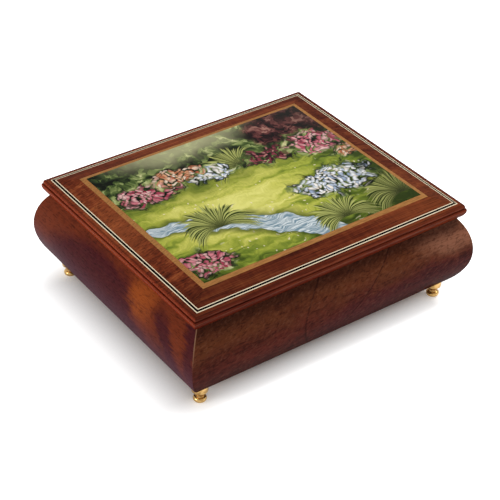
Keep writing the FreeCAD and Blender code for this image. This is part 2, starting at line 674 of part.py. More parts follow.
def make_hinge(side, sign):
    middle = hinge_middle(sign)
    low, high = f"({middle} - size.hinge_length / 2)", f"({middle} + size.hinge_length / 2)"
    inner_low, inner_high = f"({middle} - {KNUCKLE_HALF})", f"({middle} + {KNUCKLE_HALF})"
    gap = "size.knuckle_gap"
    reach = f"({HINGE_Y} - size.leaf_reach)"
    clear_y = f"({HINGE_Y} - size.knuckle_radius - {gap})"
    swing = "(size.knuckle_radius + size.leaf_thickness)"
    below, above = f"({HINGE_Z} - {swing})", f"({HINGE_Z} + {swing})"
    behind = f"({HINGE_Y} + size.knuckle_radius)"
    screws = [(name, x) for name, x in hinge_screw_places() if name.startswith(side)]

    plate_base = f"{RIM} - size.leaf_thickness"
    leaf = block(f"case_leaf_plate_{side}", (low, reach, plate_base), (high, HINGE_Y, RIM))
    ends = [
        knuckle(f"case_knuckle_a_{side}", low, inner_low),
        knuckle(f"case_knuckle_b_{side}", inner_high, high),
    ]
    pin_room = "size.hinge_pin_radius + size.hole_clearance"
    tools = [
        block(
            f"case_leaf_notch_{side}",
            (f"{inner_low} - {gap}", clear_y, below),
            (f"{inner_high} + {gap}", behind, above),
        ),
        rod(f"case_leaf_bore_{side}", (low, HINGE_Y, HINGE_Z), pin_room, "size.hinge_length", "x"),
    ]
    for name, x in screws:
        tools += screw_sinks(f"case_leaf_{name}", x, RIM, True)
    node(cut(f"hinge_case_leaf_{side}", fuse(f"case_leaf_blank_{side}", [leaf, *ends]), tools))

    plate_top = f"{LID_BASE} + size.leaf_thickness"
    leaf = block(f"lid_leaf_plate_{side}", (low, reach, LID_BASE), (high, HINGE_Y, plate_top))
    ends = [knuckle(f"lid_knuckle_{side}", f"{inner_low} + {gap}", f"{inner_high} - {gap}")]
    running = "size.hinge_pin_radius + size.running_clearance"
    notches = [
        block(f"lid_leaf_notch_a_{side}", (low, clear_y, below), (f"{inner_low} + {gap}", behind, above)),
        block(f"lid_leaf_notch_b_{side}", (f"{inner_high} - {gap}", clear_y, below), (high, behind, above)),
    ]
    bore = rod(f"lid_leaf_bore_{side}", (low, HINGE_Y, HINGE_Z), running, "size.hinge_length", "x")
    tools = [*notches, bore]
    for name, x in screws:
        tools += screw_sinks(f"lid_leaf_{name}", x, LID_BASE, False)
    node(cut(f"hinge_lid_leaf_{side}", fuse(f"lid_leaf_blank_{side}", [leaf, *ends]), tools))

    pin = rod(f"hinge_pin_{side}", (low, HINGE_Y, HINGE_Z), "size.hinge_pin_radius", "size.hinge_length", "x")
    node(pin)


def make_hinges():
    for side, sign in HINGE_SIDES:
        make_hinge(side, sign)
    head = "(size.hinge_screw_head - size.hinge_screw_radius)"
    shank = "size.hinge_screw_radius"
    case_screws = []
    lid_screws = []
    for name, x in hinge_screw_places():
        tail = (x, HINGE_SCREW_Y, f"{RIM} - size.hinge_screw_length")
        top = (x, HINGE_SCREW_Y, f"{RIM} - {head}")
        bar = rod(f"case_screw_shank_{name}", tail, shank, f"size.hinge_screw_length - {head}")
        cap = cone(f"case_screw_head_{name}", top, shank, "size.hinge_screw_head", head)
        case_screws.append(fuse(f"case_screw_{name}", [bar, cap]))
        foot = (x, HINGE_SCREW_Y, LID_BASE)
        bar = rod(
            f"lid_screw_shank_{name}",
            (x, HINGE_SCREW_Y, f"{LID_BASE} + {head}"),
            shank,
            f"size.hinge_screw_length - {head}",
        )
        cap = cone(f"lid_screw_head_{name}", foot, "size.hinge_screw_head", shank, head)
        lid_screws.append(fuse(f"lid_screw_{name}", [bar, cap]))
    node(group("hinge_screws_case", case_screws))
    node(group("hinge_screws_lid", lid_screws))


# Inside of the case: partitions, cover, linings and pads
LINING_TOP = f"({RIM} - size.lining_drop)"
JEWEL_LEFT = f"({BAY_EDGE} + size.partition_thickness)"
RING_BACK = f"({BAY_FRONT} - size.partition_thickness)"


def make_inside():
    partition_top = COVER_BASE
    low = (BAY_EDGE, f"-{CAVITY_Y}", FLOOR)
    node(block("long_partition", low, (JEWEL_LEFT, CAVITY_Y, partition_top)))
    low = (f"-{CAVITY_X}", RING_BACK, FLOOR)
    node(block("cross_partition", low, (BAY_EDGE, BAY_FRONT, partition_top)))
    low = (f"-{CAVITY_X}", f"{CAVITY_Y} - size.ledge_strip", f"{COVER_BASE} - size.ledge_strip")
    node(block("cover_ledge", low, (BAY_EDGE, CAVITY_Y, COVER_BASE)))
    low = (f"-{CAVITY_X}", f"{BAY_FRONT} - size.cover_bearing", COVER_BASE)
    high = (f"{BAY_EDGE} + size.cover_bearing", CAVITY_Y, f"{COVER_BASE} + size.cover_thickness")
    hole = rod("cover_hole", (STOP_X, WORM_Y, COVER_BASE), "size.shoe_radius", "size.cover_thickness")
    node(cut("movement_cover", block("cover_sheet", low, high), [hole]))

    board = "size.lining_board"
    inner_left, inner_right = f"({JEWEL_LEFT} + {board})", f"({CAVITY_X} - {board})"
    inner_y = f"({CAVITY_Y} - {board})"
    boards = [
        block("lining_front", (JEWEL_LEFT, f"-{CAVITY_Y}", FLOOR), (CAVITY_X, f"-{inner_y}", LINING_TOP)),
        block("lining_back", (JEWEL_LEFT, inner_y, FLOOR), (CAVITY_X, CAVITY_Y, LINING_TOP)),
        block("lining_left", (JEWEL_LEFT, f"-{inner_y}", FLOOR), (inner_left, inner_y, partition_top)),
        block("lining_right", (inner_right, f"-{inner_y}", FLOOR), (CAVITY_X, inner_y, LINING_TOP)),
    ]
    node(group("jewel_bay_lining", boards))
    low = (f"{inner_left} + size.soft_gap", f"-{inner_y} + size.soft_gap", FLOOR)
    high = (f"{inner_right} - size.soft_gap", f"{inner_y} - size.soft_gap", f"{FLOOR} + size.pad_thickness")
    node(block("jewel_pad", low, high))
    make_ring_rolls()


def make_ring_rolls():
    """Rows of padded rolls with rounded tops that fill the front of the left bay."""
    pitch = f"(({RING_BACK} + {CAVITY_Y} - size.roll_gap) / size.roll_count)"
    width = f"({pitch} - size.roll_gap)"
    side_z = f"({FLOOR} + size.roll_height - size.roll_crown)"
    crown = f"(({width} / 2) ^ 2 + size.roll_crown ^ 2) / (2 * size.roll_crown)"
    rolls = []
    for index in range(int(read("size.roll_count"))):
        low = f"(size.roll_gap - {CAVITY_Y} + {index} * {pitch})"
        high = f"({low} + {width})"
        body = doc.addObject("PartDesign::Body", f"ring_roll_{index + 1}")
        outline = [(low, FLOOR), (high, FLOOR), (high, side_z, crown, 1), (low, side_z)]
        pad = body.newObject("PartDesign::Pad", f"ring_roll_length_{index + 1}")
        pad.Profile = sketch(body, f"ring_roll_section_{index + 1}", "YZ_Plane", [outline])
        pad.SideType = "Symmetric"
        bind(pad, Length="size.bay_width - 2 * size.soft_gap")
        rolls.append(place(body, MIDDLE_X, "0", "0"))
    node(group("ring_rolls", rolls))


# Toothed wheels with straight-sided teeth, made along +Z and laid along their axis
def wheel_outline(teeth, module, first_tooth):
    """Outline of a toothed wheel with a tooth at the given angle from the +X axis."""
    pitch_radius = module * teeth / 2
    root_radius = pitch_radius - DEDENDUM * module
    tip_radius = pitch_radius + ADDENDUM * module
    step = math.pi * module
    corners = []
    for index in range(teeth):
        middle = math.radians(first_tooth + 360 * index / teeth)
        for radius, width in (
            (root_radius, -ROOT_SHARE),
            (tip_radius, -TIP_SHARE),
            (tip_radius, TIP_SHARE),
            (root_radius, ROOT_SHARE),
        ):
            angle = middle + width * step / 2 / pitch_radius
            corners.append(FreeCAD.Vector(radius * math.cos(angle), radius * math.sin(angle), 0))
    return Part.Face(Part.makePolygon(corners + corners[:1]))


def toothed_wheel(name, teeth, module, thickness, bore, first_tooth):
    """Wheel with a tooth at the given angle, round the origin."""
    outline = wheel_outline(int(read(teeth)), read(module), first_tooth)
    disc = outline.extrude(FreeCAD.Vector(0, 0, read(thickness)))
    wheel = doc.addObject("Part::Feature", name)
    wheel.Shape = disc.cut(Part.makeCylinder(read(bore) + read("size.hole_clearance"), read(thickness)))
    return wheel


def lay_along_x(wheel, x, y, z):
    """Turn a piece made along +Z so that its axis lies along +X and its own +X looks down."""
    wheel.Placement.Rotation = TURNS["x"]
    return place(wheel, x, y, z)


# Movement frame
def tab_screw_places():
    """Axes of the screws that hold brackets and comb, with the level of what they press on."""
    tab_top = f"({PLATE_TOP} + size.tab_thickness)"
    half_tab = "size.bracket_tab / 2"
    comb_y = f"({COMB_BACK} + size.riser_depth / 2)"
    comb_side = f"({CYLINDER_LEFT} + size.comb_margin)"
    comb_far = f"({CYLINDER_RIGHT} - size.comb_margin)"
    comb_top = f"({COMB_BASE} + size.comb_thickness)"
    cock_y = f"({WORM_Y} + size.bearing_margin / 2)"
    return (
        ("left_bracket", f"{LEFT_BRACKET} - {half_tab}", MIDDLE_Y, tab_top),
        ("right_bracket", f"{RIGHT_BRACKET} - {half_tab}", MIDDLE_Y, tab_top),
        ("cock", f"{COCK_X} + size.bracket_thickness + {half_tab}", cock_y, tab_top),
        ("comb_bass", f"{comb_side} + size.plate_screw_head", comb_y, comb_top),
        ("comb_treble", f"{comb_far} - size.plate_screw_head", comb_y, comb_top),
    )


def screw_holes(name, chosen):
    """Through holes for the chosen plate screws."""
    room = "size.plate_screw_radius + size.hole_clearance"
    holes = []
    for screw, x, y, level in tab_screw_places():
        if screw in chosen:
            holes.append(rod(f"{name}_{screw}", (x, y, FLOOR), room, f"{level} - {FLOOR}"))
    return holes


COMB_TIP = f"({MIDDLE_Y} - size.cylinder_radius - size.pin_height - size.comb_gap)"
COMB_BACK = f"({COMB_TIP} - size.comb_depth)"
COMB_BASE = f"({AXIS_Z} - size.comb_thickness / 2)"
ALL_SCREWS = ("left_bracket", "right_bracket", "cock", "comb_bass", "comb_treble")


def make_bedplate():
    low = (PLATE_LEFT, f"{MIDDLE_Y} - size.plate_depth / 2", FLOOR)
    high = (f"{PLATE_LEFT} + size.plate_length", f"{MIDDLE_Y} + size.plate_depth / 2", PLATE_TOP)
    running = "size.winding_radius + size.running_clearance"
    pivot = (WORM_X, WORM_Y, f"{PLATE_TOP} - size.pivot_depth")
    tools = [
        rod("plate_arbor_hole", (BARREL_X, MIDDLE_Y, FLOOR), running, "size.plate_thickness"),
        rod("plate_pivot", pivot, "size.governor_radius + size.running_clearance", "size.pivot_depth"),
        *screw_holes("plate_hole", ALL_SCREWS),
    ]
    for name, *signs in MOUNT_SCREWS:
        start = (*mount_screw_place(*signs), FLOOR)
        hole = "size.mount_screw_radius + size.hole_clearance"
        tools.append(rod(f"plate_mount_{name}", start, hole, "size.plate_thickness"))
    node(cut("bedplate", block("bedplate_blank", low, high), tools))


def bearing(name, x, y, z, radius, length):
    return rod(name, (x, y, z), f"{radius} + size.running_clearance", length, "x")


def make_brackets():
    thick = "size.bracket_thickness"
    half = "size.bracket_width / 2"
    top = f"({AXIS_Z} + size.bearing_margin)"
    tab_top = f"{PLATE_TOP} + size.tab_thickness"
    behind = f"({GOVERNOR_Y} + size.bearing_margin)"

    upright = block(
        "left_upright",
        (LEFT_BRACKET, f"{MIDDLE_Y} - {half}", PLATE_TOP),
        (f"{LEFT_BRACKET} + {thick}", behind, top),
    )
    tab = block(
        "left_tab",
        (f"{LEFT_BRACKET} - size.bracket_tab", f"{MIDDLE_Y} - {half}", PLATE_TOP),
        (LEFT_BRACKET, behind, tab_top),
    )
    tools = [
        bearing("left_cylinder_bearing", LEFT_BRACKET, MIDDLE_Y, AXIS_Z, "size.arbor_radius", thick),
        bearing("left_governor_bearing", LEFT_BRACKET, GOVERNOR_Y, GOVERNOR_Z, "size.governor_radius", thick),
        *screw_holes("left_hole", ("left_bracket",)),
    ]
    node(cut("left_bracket", fuse("left_bracket_blank", [upright, tab]), tools))

    upright = block(
        "right_upright",
        (RIGHT_BRACKET, f"{MIDDLE_Y} - {half}", PLATE_TOP),
        (f"{RIGHT_BRACKET} + {thick}", f"{MIDDLE_Y} + {half}", top),
    )
    tab = block(
        "right_tab",
        (f"{RIGHT_BRACKET} - size.bracket_tab", f"{MIDDLE_Y} - {half}", PLATE_TOP),
        (RIGHT_BRACKET, f"{MIDDLE_Y} + {half}", tab_top),
    )
    tools = [
        bearing("right_cylinder_bearing", RIGHT_BRACKET, MIDDLE_Y, AXIS_Z, "size.arbor_radius", thick),
        *screw_holes("right_hole", ("right_bracket",)),
    ]
    node(cut("right_bracket", fuse("right_bracket_blank", [upright, tab]), tools))


def make_cock():
    """Upright with an arm over the fan, carrying the governor arbor, the worm arbor and the stop rod."""
    thick = "size.bracket_thickness"
    front = f"({GOVERNOR_Y} - size.bearing_margin / 2)"
    back = f"({WORM_Y} + size.bearing_margin)"
    far = f"({COCK_X} + {thick})"
    upright = block("cock_upright", (COCK_X, front, PLATE_TOP), (far, back, ARM_TOP))
    tab_top = f"{PLATE_TOP} + size.tab_thickness"
    tab = block("cock_tab", (far, front, PLATE_TOP), (f"{far} + size.bracket_tab", back, tab_top))
    arm = block(
        "cock_arm",
        (f"{WORM_X} - size.bearing_margin", f"{WORM_Y} - size.bearing_margin", ARM_BASE),
        (COCK_X, back, ARM_TOP),
    )
    slide = "size.stop_radius + size.running_clearance"
    pivot = "size.governor_radius + size.running_clearance"
    tools = [
        bearing("cock_governor_bearing", COCK_X, GOVERNOR_Y, GOVERNOR_Z, "size.governor_radius", thick),
        rod("cock_worm_bearing", (WORM_X, WORM_Y, ARM_BASE), pivot, "size.cock_arm_thickness"),
        rod("cock_stop_guide", (STOP_X, WORM_Y, ARM_BASE), slide, "size.cock_arm_thickness"),
        *screw_holes("cock_hole", ("cock",)),
    ]
    node(cut("governor_cock", fuse("cock_blank", [upright, tab, arm]), tools))


def make_movement_screws():
    shank = "size.plate_screw_radius"
    screws = []
    for name, x, y, level in tab_screw_places():
        bar = rod(f"plate_screw_shank_{name}", (x, y, FLOOR), shank, f"{level} - {FLOOR}")
        head_height = "size.plate_screw_head_height"
        cap = rod(f"plate_screw_head_{name}", (x, y, level), "size.plate_screw_head", head_height)
        screws.append(fuse(f"plate_screw_{name}", [bar, cap]))
    node(group("plate_screws", screws))
    screws = []
    for name, *signs in MOUNT_SCREWS:
        start = (*mount_screw_place(*signs), BASE)
        bar = rod(f"mount_screw_shank_{name}", start, "size.mount_screw_radius", f"{PLATE_TOP} - {BASE}")
        cap = rod(f"mount_screw_head_{name}", start, "size.mount_screw_head", "size.mount_screw_head_height")
        screws.append(fuse(f"mount_screw_{name}", [bar, cap]))
    node(group("mount_screws", screws))


# Comb: a steel plate cut into teeth that grow shorter towards the treble
def make_comb():
    tracks = int(read("size.tooth_count"))
    pitch = f"((size.cylinder_length - 2 * size.comb_margin) / {tracks})"
    left = f"({CYLINDER_LEFT} + size.comb_margin)"
    high = (CYLINDER_RIGHT, COMB_TIP, f"{COMB_BASE} + size.comb_thickness")
    blank = block("comb_blank", (CYLINDER_LEFT, COMB_BACK, COMB_BASE), high)
    slots = []
    for index in range(tracks + 1):
        share = index / tracks
        length = f"(size.longest_tooth - {share} * (size.longest_tooth - size.shortest_tooth))"
        middle = f"({left} + {index} * {pitch})"
        slots.append(
            block(
                f"comb_slot_{index}",
                (f"{middle} - size.comb_slot / 2", f"{COMB_TIP} - {length}", COMB_BASE),
                (f"{middle} + size.comb_slot / 2", COMB_TIP, f"{COMB_BASE} + size.comb_thickness"),
            )
        )
    holes = screw_holes("comb_hole", ("comb_bass", "comb_treble"))
    node(cut("comb", blank, slots + holes))
    low = (CYLINDER_LEFT, COMB_BACK, PLATE_TOP)
    riser = block("riser_blank", low, (CYLINDER_RIGHT, f"{COMB_BACK} + size.riser_depth", COMB_BASE))
    node(cut("comb_riser", riser, screw_holes("riser_hole", ("comb_bass", "comb_treble"))))


# Cylinder with its pins, arbor, wheel and pinion
GOLDEN_TURN = 137.508


def make_cylinder():
    radius = read("size.cylinder_radius")
    length = read("size.cylinder_length")
    drum = Part.makeCylinder(radius, length)
    tracks = int(read("size.tooth_count"))
    margin = read("size.comb_margin")
    pitch = (length - 2 * margin) / tracks
    root = read("size.pin_root")
    pin_radius = read("size.pin_radius")
    pin_length = root + read("size.pin_height")
    pins = []
    for index in range(tracks * int(read("size.pins_per_track"))):
        along = margin + pitch / 2 + index % tracks * pitch
        angle = math.radians(index * GOLDEN_TURN)
        outward = FreeCAD.Vector(math.cos(angle), math.sin(angle), 0)
        start = outward * (radius - root) + FreeCAD.Vector(0, 0, along)
        pins.append(Part.makeCylinder(pin_radius, pin_length, start, outward))
    bore = Part.makeCylinder(read("size.arbor_radius + size.hole_clearance"), length)
    cylinder = doc.addObject("Part::Feature", "pin_cylinder")
    cylinder.Shape = drum.fuse(pins).cut(bore)
    node(lay_along_x(cylinder, CYLINDER_LEFT, MIDDLE_Y, AXIS_Z))

    arbor_length = f"{PINION_LEFT} + size.pinion_thickness - {LEFT_BRACKET}"
    node(rod("cylinder_arbor", (LEFT_BRACKET, MIDDLE_Y, AXIS_Z), "size.arbor_radius", arbor_length, "x"))
    module = "size.train_module"
    half_step = 180 / read("size.pinion_teeth")
    pinion = toothed_wheel(
        "cylinder_pinion",
        "size.pinion_teeth",
        module,
        "size.pinion_thickness",
        "size.arbor_radius",
        half_step,
    )
    node(lay_along_x(pinion, PINION_LEFT, MIDDLE_Y, AXIS_Z))
    wheel = toothed_wheel(
        "cylinder_wheel",
        "size.wheel_teeth",
        module,
        "size.wheel_thickness",
        "size.arbor_radius",
        mesh_angle(),
    )
    node(lay_along_x(wheel, WHEEL_LEFT, MIDDLE_Y, AXIS_Z))


def mesh_angle():
    """Angle from straight down to the line between cylinder and governor arbors, turning towards +Y."""
    return math.degrees(math.atan2(read(f"{GOVERNOR_Y} - {MIDDLE_Y}"), read(f"{AXIS_Z} - {GOVERNOR_Z}")))


# Spring barrel with crown teeth, cover, mainspring, winding arbor and key
def crown_tooth(module, face, pitch_radius):
    """One crown tooth on the +X axis, standing on the plane of the roots."""
    step = math.pi * module
    height = (DEDENDUM + ADDENDUM) * module
    halves = ((ROOT_SHARE, 0), (TIP_SHARE, height))
    inner = pitch_radius - face / 2
    corners = [FreeCAD.Vector(inner, -share * step / 2, level) for share, level in halves]
    corners += [FreeCAD.Vector(inner, share * step / 2, level) for share, level in reversed(halves)]
    return Part.Face(Part.makePolygon(corners + corners[:1])).extrude(FreeCAD.Vector(face, 0, 0))


def make_barrel():
    outer = read("size.barrel_radius")
    plate = read("size.barrel_plate")
    inner = outer - read("size.barrel_wall")
    height = read(f"{CROWN_ROOT} - {BARREL_BASE}")
    running = read("size.winding_radius + size.running_clearance")
    teeth = int(read("size.crown_teeth"))
    tooth = crown_tooth(read("size.train_module"), read("size.crown_face"), read(CROWN_RADIUS))
    tooth.translate(FreeCAD.Vector(0, 0, height))
    crown = []
    for index in range(teeth):
        crown.append(tooth.rotated(FreeCAD.Vector(), FreeCAD.Vector(0, 0, 1), 360 * index / teeth))
    shell = Part.makeCylinder(outer, height).fuse(crown)
    shell = shell.cut(Part.makeCylinder(inner, height - plate))
    barrel = doc.addObject("Part::Feature", "spring_barrel")
    barrel.Shape = shell.cut(Part.makeCylinder(running, height))
    node(place(barrel, BARREL_X, MIDDLE_Y, BARREL_BASE))

    seat = (BARREL_X, MIDDLE_Y, BARREL_BASE)
    disc = rod("cover_disc", seat, "size.barrel_radius - size.barrel_wall", "size.barrel_plate")
    bore = rod("cover_bore", seat, "size.winding_radius + size.running_clearance", "size.barrel_plate")
    node(cut("barrel_cover", disc, [bore]))
    make_mainspring()


def spiral_side(half_turns, start_radius, step, offset):
    """One face of the spring strip: half circles whose centre swaps sides as they grow."""
    edges = []
    for index in range(half_turns):
        shift = step / 2 if index % 2 else 0
        radius = start_radius + index * step / 2 + offset
        sign = -1 if index % 2 else 1
        centre = FreeCAD.Vector(shift, 0, 0)
        across = FreeCAD.Vector(sign * radius, 0, 0)
        aside = FreeCAD.Vector(0, sign * radius, 0)
        edges.append(Part.Arc(centre + across, centre + aside, centre - across).toShape())
    return edges


def make_mainspring():
    pitch = read("size.spring_pitch")
    strip = read("size.spring_strip")
    start_radius = read("size.winding_radius") + pitch
    room = read("size.barrel_radius - size.barrel_wall") - start_radius - pitch
    half_turns = int(2 * room / pitch)
    height = read(f"{CROWN_ROOT} - {BARREL_BASE} - 2 * size.barrel_plate - 2 * size.spring_margin")
    inside = spiral_side(half_turns, start_radius, pitch, -strip / 2)
    outside = spiral_side(half_turns, start_radius, pitch, strip / 2)
    first = Part.makeLine(inside[0].Vertexes[0].Point, outside[0].Vertexes[0].Point)
    last = Part.makeLine(inside[-1].Vertexes[-1].Point, outside[-1].Vertexes[-1].Point)
    edges = Part.__sortEdges__(inside + [last] + outside + [first])
    spring = doc.addObject("Part::Feature", "mainspring")
    spring.Shape = Part.Face(Part.Wire(edges)).extrude(FreeCAD.Vector(0, 0, height))
    node(place(spring, BARREL_X, MIDDLE_Y, f"{BARREL_BASE} + size.barrel_plate + size.spring_margin"))


def make_winding():
    key_top = f"({BASE} - size.key_gap)"
    wing_base = "size.key_clearance"
    wing_top = f"({wing_base} + size.key_wing_height)"
    arbor_top = f"({CROWN_LEVEL} + size.pinion_thickness)"
    length = f"{arbor_top} - {wing_top}"
    shaft = rod("winding_shaft", (BARREL_X, MIDDLE_Y, wing_top), "size.winding_radius", length)
    collar_base = f"{PLATE_TOP} + size.collar_gap"
    collar_height = "size.barrel_lift - 2 * size.collar_gap"
    collar = rod("winding_collar", (BARREL_X, MIDDLE_Y, collar_base), "size.collar_radius", collar_height)
    node(fuse("winding_arbor", [shaft, collar]))

    hub = rod("key_hub", (BARREL_X, MIDDLE_Y, wing_top), "size.key_hub_radius", f"{key_top} - {wing_top}")
    half_span, half_thick = "size.key_span / 2", "size.key_thickness / 2"
    low = (f"{BARREL_X} - {half_span}", f"{MIDDLE_Y} - {half_thick}", wing_base)
    high = (f"{BARREL_X} + {half_span}", f"{MIDDLE_Y} + {half_thick}", wing_top)
    wings = block("key_wings", low, high)
    rounded = doc.addObject("Part::Fillet", "key_wings_rounded")
    rounded.Base = wings
    doc.recompute()
    corner = min(read("size.key_corner"), CORNER_LIMIT * read("size.key_wing_height"))
    upright_ends = [
        (number, corner, corner)
        for number, edge in enumerate(wings.Shape.Edges, start=1)
        if abs(edge.Vertexes[0].Y - edge.Vertexes[-1].Y) > read("size.key_thickness") / 2
    ]
    rounded.Edges = upright_ends
    bore = rod(
        "key_bore",
        (BARREL_X, MIDDLE_Y, wing_top),
        "size.winding_radius + size.hole_clearance",
        f"{key_top} - {wing_top}",
    )
    node(cut("winding_key", fuse("key_blank", [hub, rounded]), [bore]))


# Governor: pinion and worm wheel on one arbor, worm and fan on an upright arbor
def make_governor():
    thick = "size.bracket_thickness"
    length = f"{COCK_X} + {thick} - {LEFT_BRACKET}"
    node(rod("governor_arbor", (LEFT_BRACKET, GOVERNOR_Y, GOVERNOR_Z), "size.governor_radius", length, "x"))
    half_step = 180 / read("size.governor_teeth")
    pinion = toothed_wheel(
        "governor_pinion",
        "size.governor_teeth",
        "size.train_module",
        "size.pinion_thickness",
        "size.governor_radius",
        mesh_angle() + half_step,
    )
    pinion_left = f"{WHEEL_MIDDLE} - size.pinion_thickness / 2"
    node(lay_along_x(pinion, pinion_left, GOVERNOR_Y, GOVERNOR_Z))
    towards_worm = 90
    wheel = toothed_wheel(
        "worm_wheel",
        "size.worm_wheel_teeth",
        "size.worm_module",
        "size.wheel_thickness",
        "size.governor_radius",
        towards_worm,
    )
    node(lay_along_x(wheel, f"{WORM_X} - size.wheel_thickness / 2", GOVERNOR_Y, GOVERNOR_Z))


def make_worm():
    """Upright arbor with a right-hand worm; on the wheel's side a gap lies level with the governor arbor."""
    module = read("size.worm_module")
    lead = math.pi * module
    pitch_radius = read("size.worm_pitch_radius")
    root = pitch_radius - DEDENDUM * module
    tip = pitch_radius + ADDENDUM * module
    turns = read("size.worm_turns")
    middle = read(f"{GOVERNOR_Z} - {PLATE_TOP} + size.pivot_depth")
    inside = root - read("size.hole_clearance")
    halves = ((inside, ROOT_SHARE * lead / 2), (tip, TIP_SHARE * lead / 2))
    section = [FreeCAD.Vector(radius, 0, -half) for radius, half in halves]
    section += [FreeCAD.Vector(radius, 0, half) for radius, half in reversed(halves)]
    helix = Part.makeHelix(lead, lead * turns, pitch_radius)
    profile = Part.Wire(Part.makePolygon(section + section[:1]))
    thread = Part.Wire(helix).makePipeShell([profile], True, True)
    thread.rotate(FreeCAD.Vector(), FreeCAD.Vector(0, 0, 1), -90)
    thread.translate(FreeCAD.Vector(0, 0, middle - lead * turns / 2))
    core_length = lead * (turns + 1)
    core = Part.makeCylinder(root, core_length, FreeCAD.Vector(0, 0, middle - core_length / 2))
    shaft_length = read(f"{ARM_TOP} - {PLATE_TOP} + size.pivot_depth")
    shaft = Part.makeCylinder(read("size.governor_radius"), shaft_length)
    worm = doc.addObject("Part::Feature", "worm_arbor")
    worm.Shape = core.fuse([shaft, thread])
    node(place(worm, WORM_X, WORM_Y, f"{PLATE_TOP} - size.pivot_depth"))


def make_fan():
    hub = rod("fan_hub", (WORM_X, WORM_Y, FAN_BASE), "size.fan_hub_radius", f"{DRUM_BASE} - {FAN_BASE}")
    low = (f"{WORM_X} - size.fan_radius", f"{WORM_Y} - size.fan_blade / 2", FAN_BASE)
    high = (f"{WORM_X} + size.fan_radius", f"{WORM_Y} + size.fan_blade / 2", f"{FAN_BASE} + size.fan_height")
    blades = block("fan_blades", low, high)
    drum = rod("fan_drum", (WORM_X, WORM_Y, DRUM_BASE), "size.drum_radius", "size.drum_height")
    bore = rod(
        "fan_bore",
        (WORM_X, WORM_Y, FAN_BASE),
        "size.governor_radius + size.hole_clearance",
        f"{DRUM_BASE} + size.drum_height - {FAN_BASE}",
    )
    node(cut("governor_fan", fuse("fan_blank", [hub, blades, drum]), [bore]))


def make_stop():
    """Rod under the lid with a shoe beside the fan's brake drum."""
    pole = rod("stop_pole", (STOP_X, WORM_Y, DRUM_BASE), "size.stop_radius", f"{STOP_TOP} - {DRUM_BASE}")
    shoe = rod("stop_shoe", (STOP_X, WORM_Y, DRUM_BASE), "size.shoe_radius", "size.shoe_height")
    node(fuse("stop_rod", [pole, shoe]))


def check():
    """Every object is sound and every node holds closed, valid solids."""
    doc.recompute()
    for thing in doc.Objects:
        if "Invalid" in thing.State or "Error" in thing.State:
            raise RuntimeError(f"{thing.Label}: {thing.State}")
    for piece in nodes:
        shape = piece.Shape
        if shape.isNull() or not shape.isValid() or not shape.Solids:
            raise RuntimeError(f"{piece.Label}: not a valid solid")


def write():
    os.makedirs("parts", exist_ok=True)
    for piece in nodes:
        piece.Shape.exportStep(f"parts/{piece.Label}.step")
    print(f"{len(nodes)} nodes")


make_walls()
make_bottom()
make_feet()
make_lid_rails()
make_inlays()
make_lid_boards()
make_hinges()
make_inside()
make_bedplate()
make_brackets()
make_cock()
make_movement_screws()
make_comb()
make_cylinder()
make_barrel()
make_winding()
make_governor()
make_worm()
make_fan()
make_stop()
check()
write()
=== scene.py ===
import math

import bmesh
import bpy
from bpy.props import FloatProperty, FloatVectorProperty, IntProperty, PointerProperty
from mathutils import Matrix, Vector


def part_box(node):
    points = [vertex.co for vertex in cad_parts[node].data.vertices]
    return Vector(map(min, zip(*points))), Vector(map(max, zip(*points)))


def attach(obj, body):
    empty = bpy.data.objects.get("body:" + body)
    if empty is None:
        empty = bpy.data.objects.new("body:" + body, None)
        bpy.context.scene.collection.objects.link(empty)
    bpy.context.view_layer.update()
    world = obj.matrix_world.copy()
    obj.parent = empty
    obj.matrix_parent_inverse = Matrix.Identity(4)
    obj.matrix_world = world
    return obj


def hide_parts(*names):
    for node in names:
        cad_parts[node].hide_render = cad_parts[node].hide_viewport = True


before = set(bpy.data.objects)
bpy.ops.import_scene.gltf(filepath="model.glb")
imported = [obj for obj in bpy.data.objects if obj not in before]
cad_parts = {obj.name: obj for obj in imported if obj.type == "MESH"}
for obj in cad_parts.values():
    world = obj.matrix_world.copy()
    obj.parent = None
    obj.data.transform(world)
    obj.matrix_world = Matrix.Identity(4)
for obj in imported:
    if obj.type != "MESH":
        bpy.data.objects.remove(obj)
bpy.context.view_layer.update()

bl_info = {
    "name": "Musical Jewel Box",
    "version": (1, 0, 0),
    "blender": (4, 5, 0),
    "location": "View3D > Sidebar > Jewel Box",
    "description": "Dresses a bulging inlaid jewel box and its pinned-cylinder movement",
    "category": "Object",
}

MM = 0.001
MERGE = 1e-6
SHARP_ANGLE = math.radians(32)
# Share of an edge's length along an axis from which it counts as running that way
ALONG_AXIS = 0.9
# Frames in which stuffed cloth settles
STUFFING_FRAMES = 20
SIDES = ("front", "back", "left", "right")
ENDS = ("left", "right")
OUTWARD = {"front": (0, -1), "back": (0, 1), "left": (-1, 0), "right": (1, 0)}
GRAIN_TURN = {"front": 0, "back": 0, "left": math.radians(90), "right": math.radians(90)}
# Half the length and half the depth of the case, and the underside and the rim of its walls
HALF_X = -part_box("left_wall")[0].x
HALF_Y = -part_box("front_wall")[0].y
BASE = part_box("front_wall")[0].z
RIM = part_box("front_wall")[1].z


def linear(code):
    """Linear colour of an sRGB hex code."""
    shares = [int(code[at:at + 2], 16) / 255 for at in (0, 2, 4)]
    return tuple(s / 12.92 if s <= 0.04045 else ((s + 0.055) / 1.055) ** 2.4 for s in shares)


def length(name, default, description):
    return FloatProperty(name=name, description=description, default=default, unit="LENGTH")


def angle(name, degrees, description):
    turn = math.radians(degrees)
    return FloatProperty(name=name, description=description, default=turn, subtype="ANGLE")


def tint(name, code, description):
    return FloatVectorProperty(name=name, description=description, default=linear(code), subtype="COLOR")


